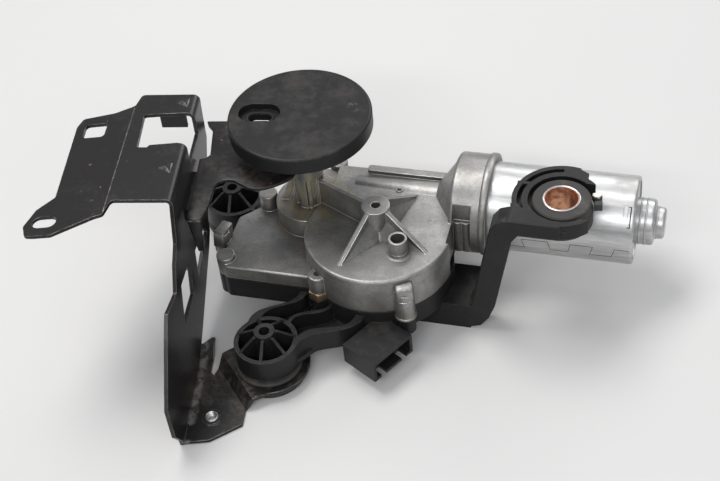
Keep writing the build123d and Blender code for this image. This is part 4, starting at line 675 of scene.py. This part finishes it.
# ------------------------------------------------------------------ pressed shelf under the disc
# rounded outline with a relief round the tower, and a tapered tongue at its front end
shelf_line = [(-59.2, 11.6), (-57.4, 8.2), (-53.6, 4.6), (-48.4, -15.4), (-50.0, -18.4),
              (-53.0, -19.6), (-44.6, -65.4), (-43.0, -66.6), (-38.2, -65.8), (-36.4, -63.6),
              (-36.2, -55.0), (-36.6, -47.4), (-37.4, -40.4), (-36.8, -36.6), (-34.4, -34.2),
              (-31.6, -33.3), (-28.6, -33.7), (-23.6, -36.2), (-20.6, -37.5), (-17.5, -38.0),
              (-14.4, -37.7), (-11.0, -36.4), (-5.8, -33.0), (-1.6, -29.2), (1.2, -25.0),
              (2.2, -19.9), (1.6, -12.6), (-4.4, -11.7), (-9.4, -8.2), (-12.1, -3.2),
              (-12.1, 3.2), (-9.4, 8.2), (-4.4, 11.7), (-3.6, 13.0), (-5.4, 20.4)]
shelf = Piece("pressed_shelf", "coated_steel", "dusty_steel")
plate = shelf.shape.faces.new([shelf.shape.verts.new((x, y, shelf_top)) for x, y in shelf_line])
underside = bmesh.ops.extrude_face_region(shelf.shape, geom=[plate])["geom"]
shelf.move((0, 0, -sheet), [part for part in underside if isinstance(part, bmesh.types.BMVert)])
bmesh.ops.recalc_face_normals(shelf.shape, faces=shelf.shape.faces)
shelf.soften([line for line in shelf.shape.edges
              if abs(line.verts[0].co.z - line.verts[1].co.z) < 0.01], 0.55, 3)
tongue_x, tongue_bend, tongue_length = -40.4, 54.0, 17.0
for vert in shelf.block((7.2, 2.0, 21.0), (tongue_x, -65.6, 46.6), bracket_degrees, 0.5):
    drop = min(max((tongue_bend - vert.co.z) / tongue_length, 0.0), 1.0)
    vert.co.x += ((tongue_x - vert.co.x) * 0.62 + 0.8) * drop
shelf.block((2.0, 30.0, 8.0), (*on_bracket(-55.8, -34.0), 52.4), bracket_degrees, 0.3, 1)
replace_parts(shelf.settle(), "upper_bracket")

# ------------------------------------------------------------------ folded bracket's deck
# raised crease between deck and wing, and darts pressed across the deck's bends
crease = Piece("deck_crease", "coated_steel", "worn_line")
crease.block((0.7, 82.0, 0.34), (*on_bracket(deck_crease, -35.0), deck_top - 0.05),
             bracket_degrees, 0.12)
crease.settle()
bend_darts = Piece("deck_darts", "coated_steel", "scuffed_steel")
for dart_y in (10.0, -43.0):
    dart = bend_darts.cone(3, 6.2, 0.9, 1.7)
    bend_darts.turn(90 + bracket_degrees, verts=dart)
    bend_darts.move((*on_bracket(-63.6, dart_y), deck_top + 0.4), dart)
bend_darts.soften(bend_darts.shape.edges[:], 0.35)
bend_darts.settle()

# ------------------------------------------------------------------ driving slot of the disc
# raised lip round the slot, down in its recess
slot_centre, slot_half_straight = (-21.51, -2.87), 2.8
slot_lip = Piece("slot_lip", "black_plastic", "black_plastic", body="output")
outlines = []
for radius, height in ((3.55, 0.0), (3.55, 0.7), (3.8, 1.0), (4.5, 1.0), (4.8, 0.7), (4.8, 0.0)):
    outline = bmesh.ops.create_circle(slot_lip.shape, segments=48, radius=radius)["verts"]
    for vert in outline:
        vert.co.x += math.copysign(slot_half_straight, vert.co.x)
    slot_lip.turn(disc_bearing, verts=outline)
    slot_lip.move((*slot_centre, recess_floor + height), outline)
    outlines.append(edges_of(outline))
for inner, outer in zip(outlines, outlines[1:] + outlines[:1]):
    bmesh.ops.bridge_loops(slot_lip.shape, edges=inner + outer)
slot_lip.settle()

# ------------------------------------------------------------------ below the mounts and bosses
# rolled lips of the rubber dampers, seen between the ribbed mounts and the bracket
lips = Piece("damper_lips", "damper_rubber", "damper_rubber")
for place in (front_mount, rear_mount):
    lips.ring(place, [(15.0, -22.6), (16.9, -22.6), (17.7, -22.0), (17.9, -21.2), (17.5, -20.4),
                      (16.6, -20.0), (15.0, -19.8)], 64)
lips.settle()

# lower end of the right-hand boss, with its bright seat
boss_end = Piece("boss_end", "cast_aluminium", "cast_aluminium")
boss_end.ring(right_boss, [(4.4, 10.0), (5.35, 10.0), (5.45, -2.6), (5.9, -3.0), (6.0, -3.8),
                           (5.6, -4.3), (4.4, -4.3)], 40)
boss_end.settle()

# ------------------------------------------------------------------ floor and light, in metres
floor_reach, floor_tone, floor_roughness = 4.0, (0.58, 0.575, 0.57), 0.9
floor = add_object("floor", bpy.data.meshes.new("floor"))
floor_shape = bmesh.new()
bmesh.ops.create_grid(floor_shape, x_segments=1, y_segments=1, size=floor_reach)
bmesh.ops.translate(floor_shape, verts=floor_shape.verts, vec=(0, 0, cad_box[0][2]))
floor_shape.to_mesh(floor.data)
floor_shape.free()
floor_paint = bpy.data.materials.new("floor")
floor_paint.use_nodes = True
floor_surface = floor_paint.node_tree.nodes["Principled BSDF"]
floor_surface.inputs["Base Color"].default_value = (*floor_tone, 1)
floor_surface.inputs["Roughness"].default_value = floor_roughness
floor.data.materials.append(floor_paint)

world = bpy.data.worlds.new("studio")
world.use_nodes = True
sky = Nodes(world.node_tree)
sky_place = sky.node("ShaderNodeTexCoord", {}, "Generated")
sky_height = sky.node("ShaderNodeSeparateXYZ", {0: sky_place}, 2)
background = sky.tree.nodes["Background"]
background.inputs["Color"].default_value = (0.94, 0.96, 1.0, 1)
sky.tree.links.new(sky_height.ramp(-0.1, 0.9, 0.16, 0.62).socket, background.inputs["Strength"])
bpy.context.scene.world = world


def softbox(name, place, target, size, power, colour=(1, 1, 1)):
    data = bpy.data.lights.new(name, "AREA")
    data.shape = "RECTANGLE"
    data.size, data.size_y = size
    data.energy = power
    data.color = colour
    lamp = add_object(name, data)
    lamp.location = place
    lamp.rotation_euler = (Vector(target) - Vector(place)).to_track_quat("-Z", "Y").to_euler()


softbox("key", (-0.35, 0.15, 1.2), (0, 0, 0), (0.8, 0.45), 11.0, (1.0, 0.985, 0.96))
softbox("fill", (0.9, -1.0, 0.9), (0, 0, 0), (0.9, 0.7), 4.0, (0.95, 0.97, 1.0))
softbox("strip", (0.05, -0.85, 0.75), (0.03, 0, 0), (0.6, 0.06), 3.4)
softbox("rim", (0.3, 1.1, 0.7), (0, 0, 0), (0.9, 0.4), 5.0)
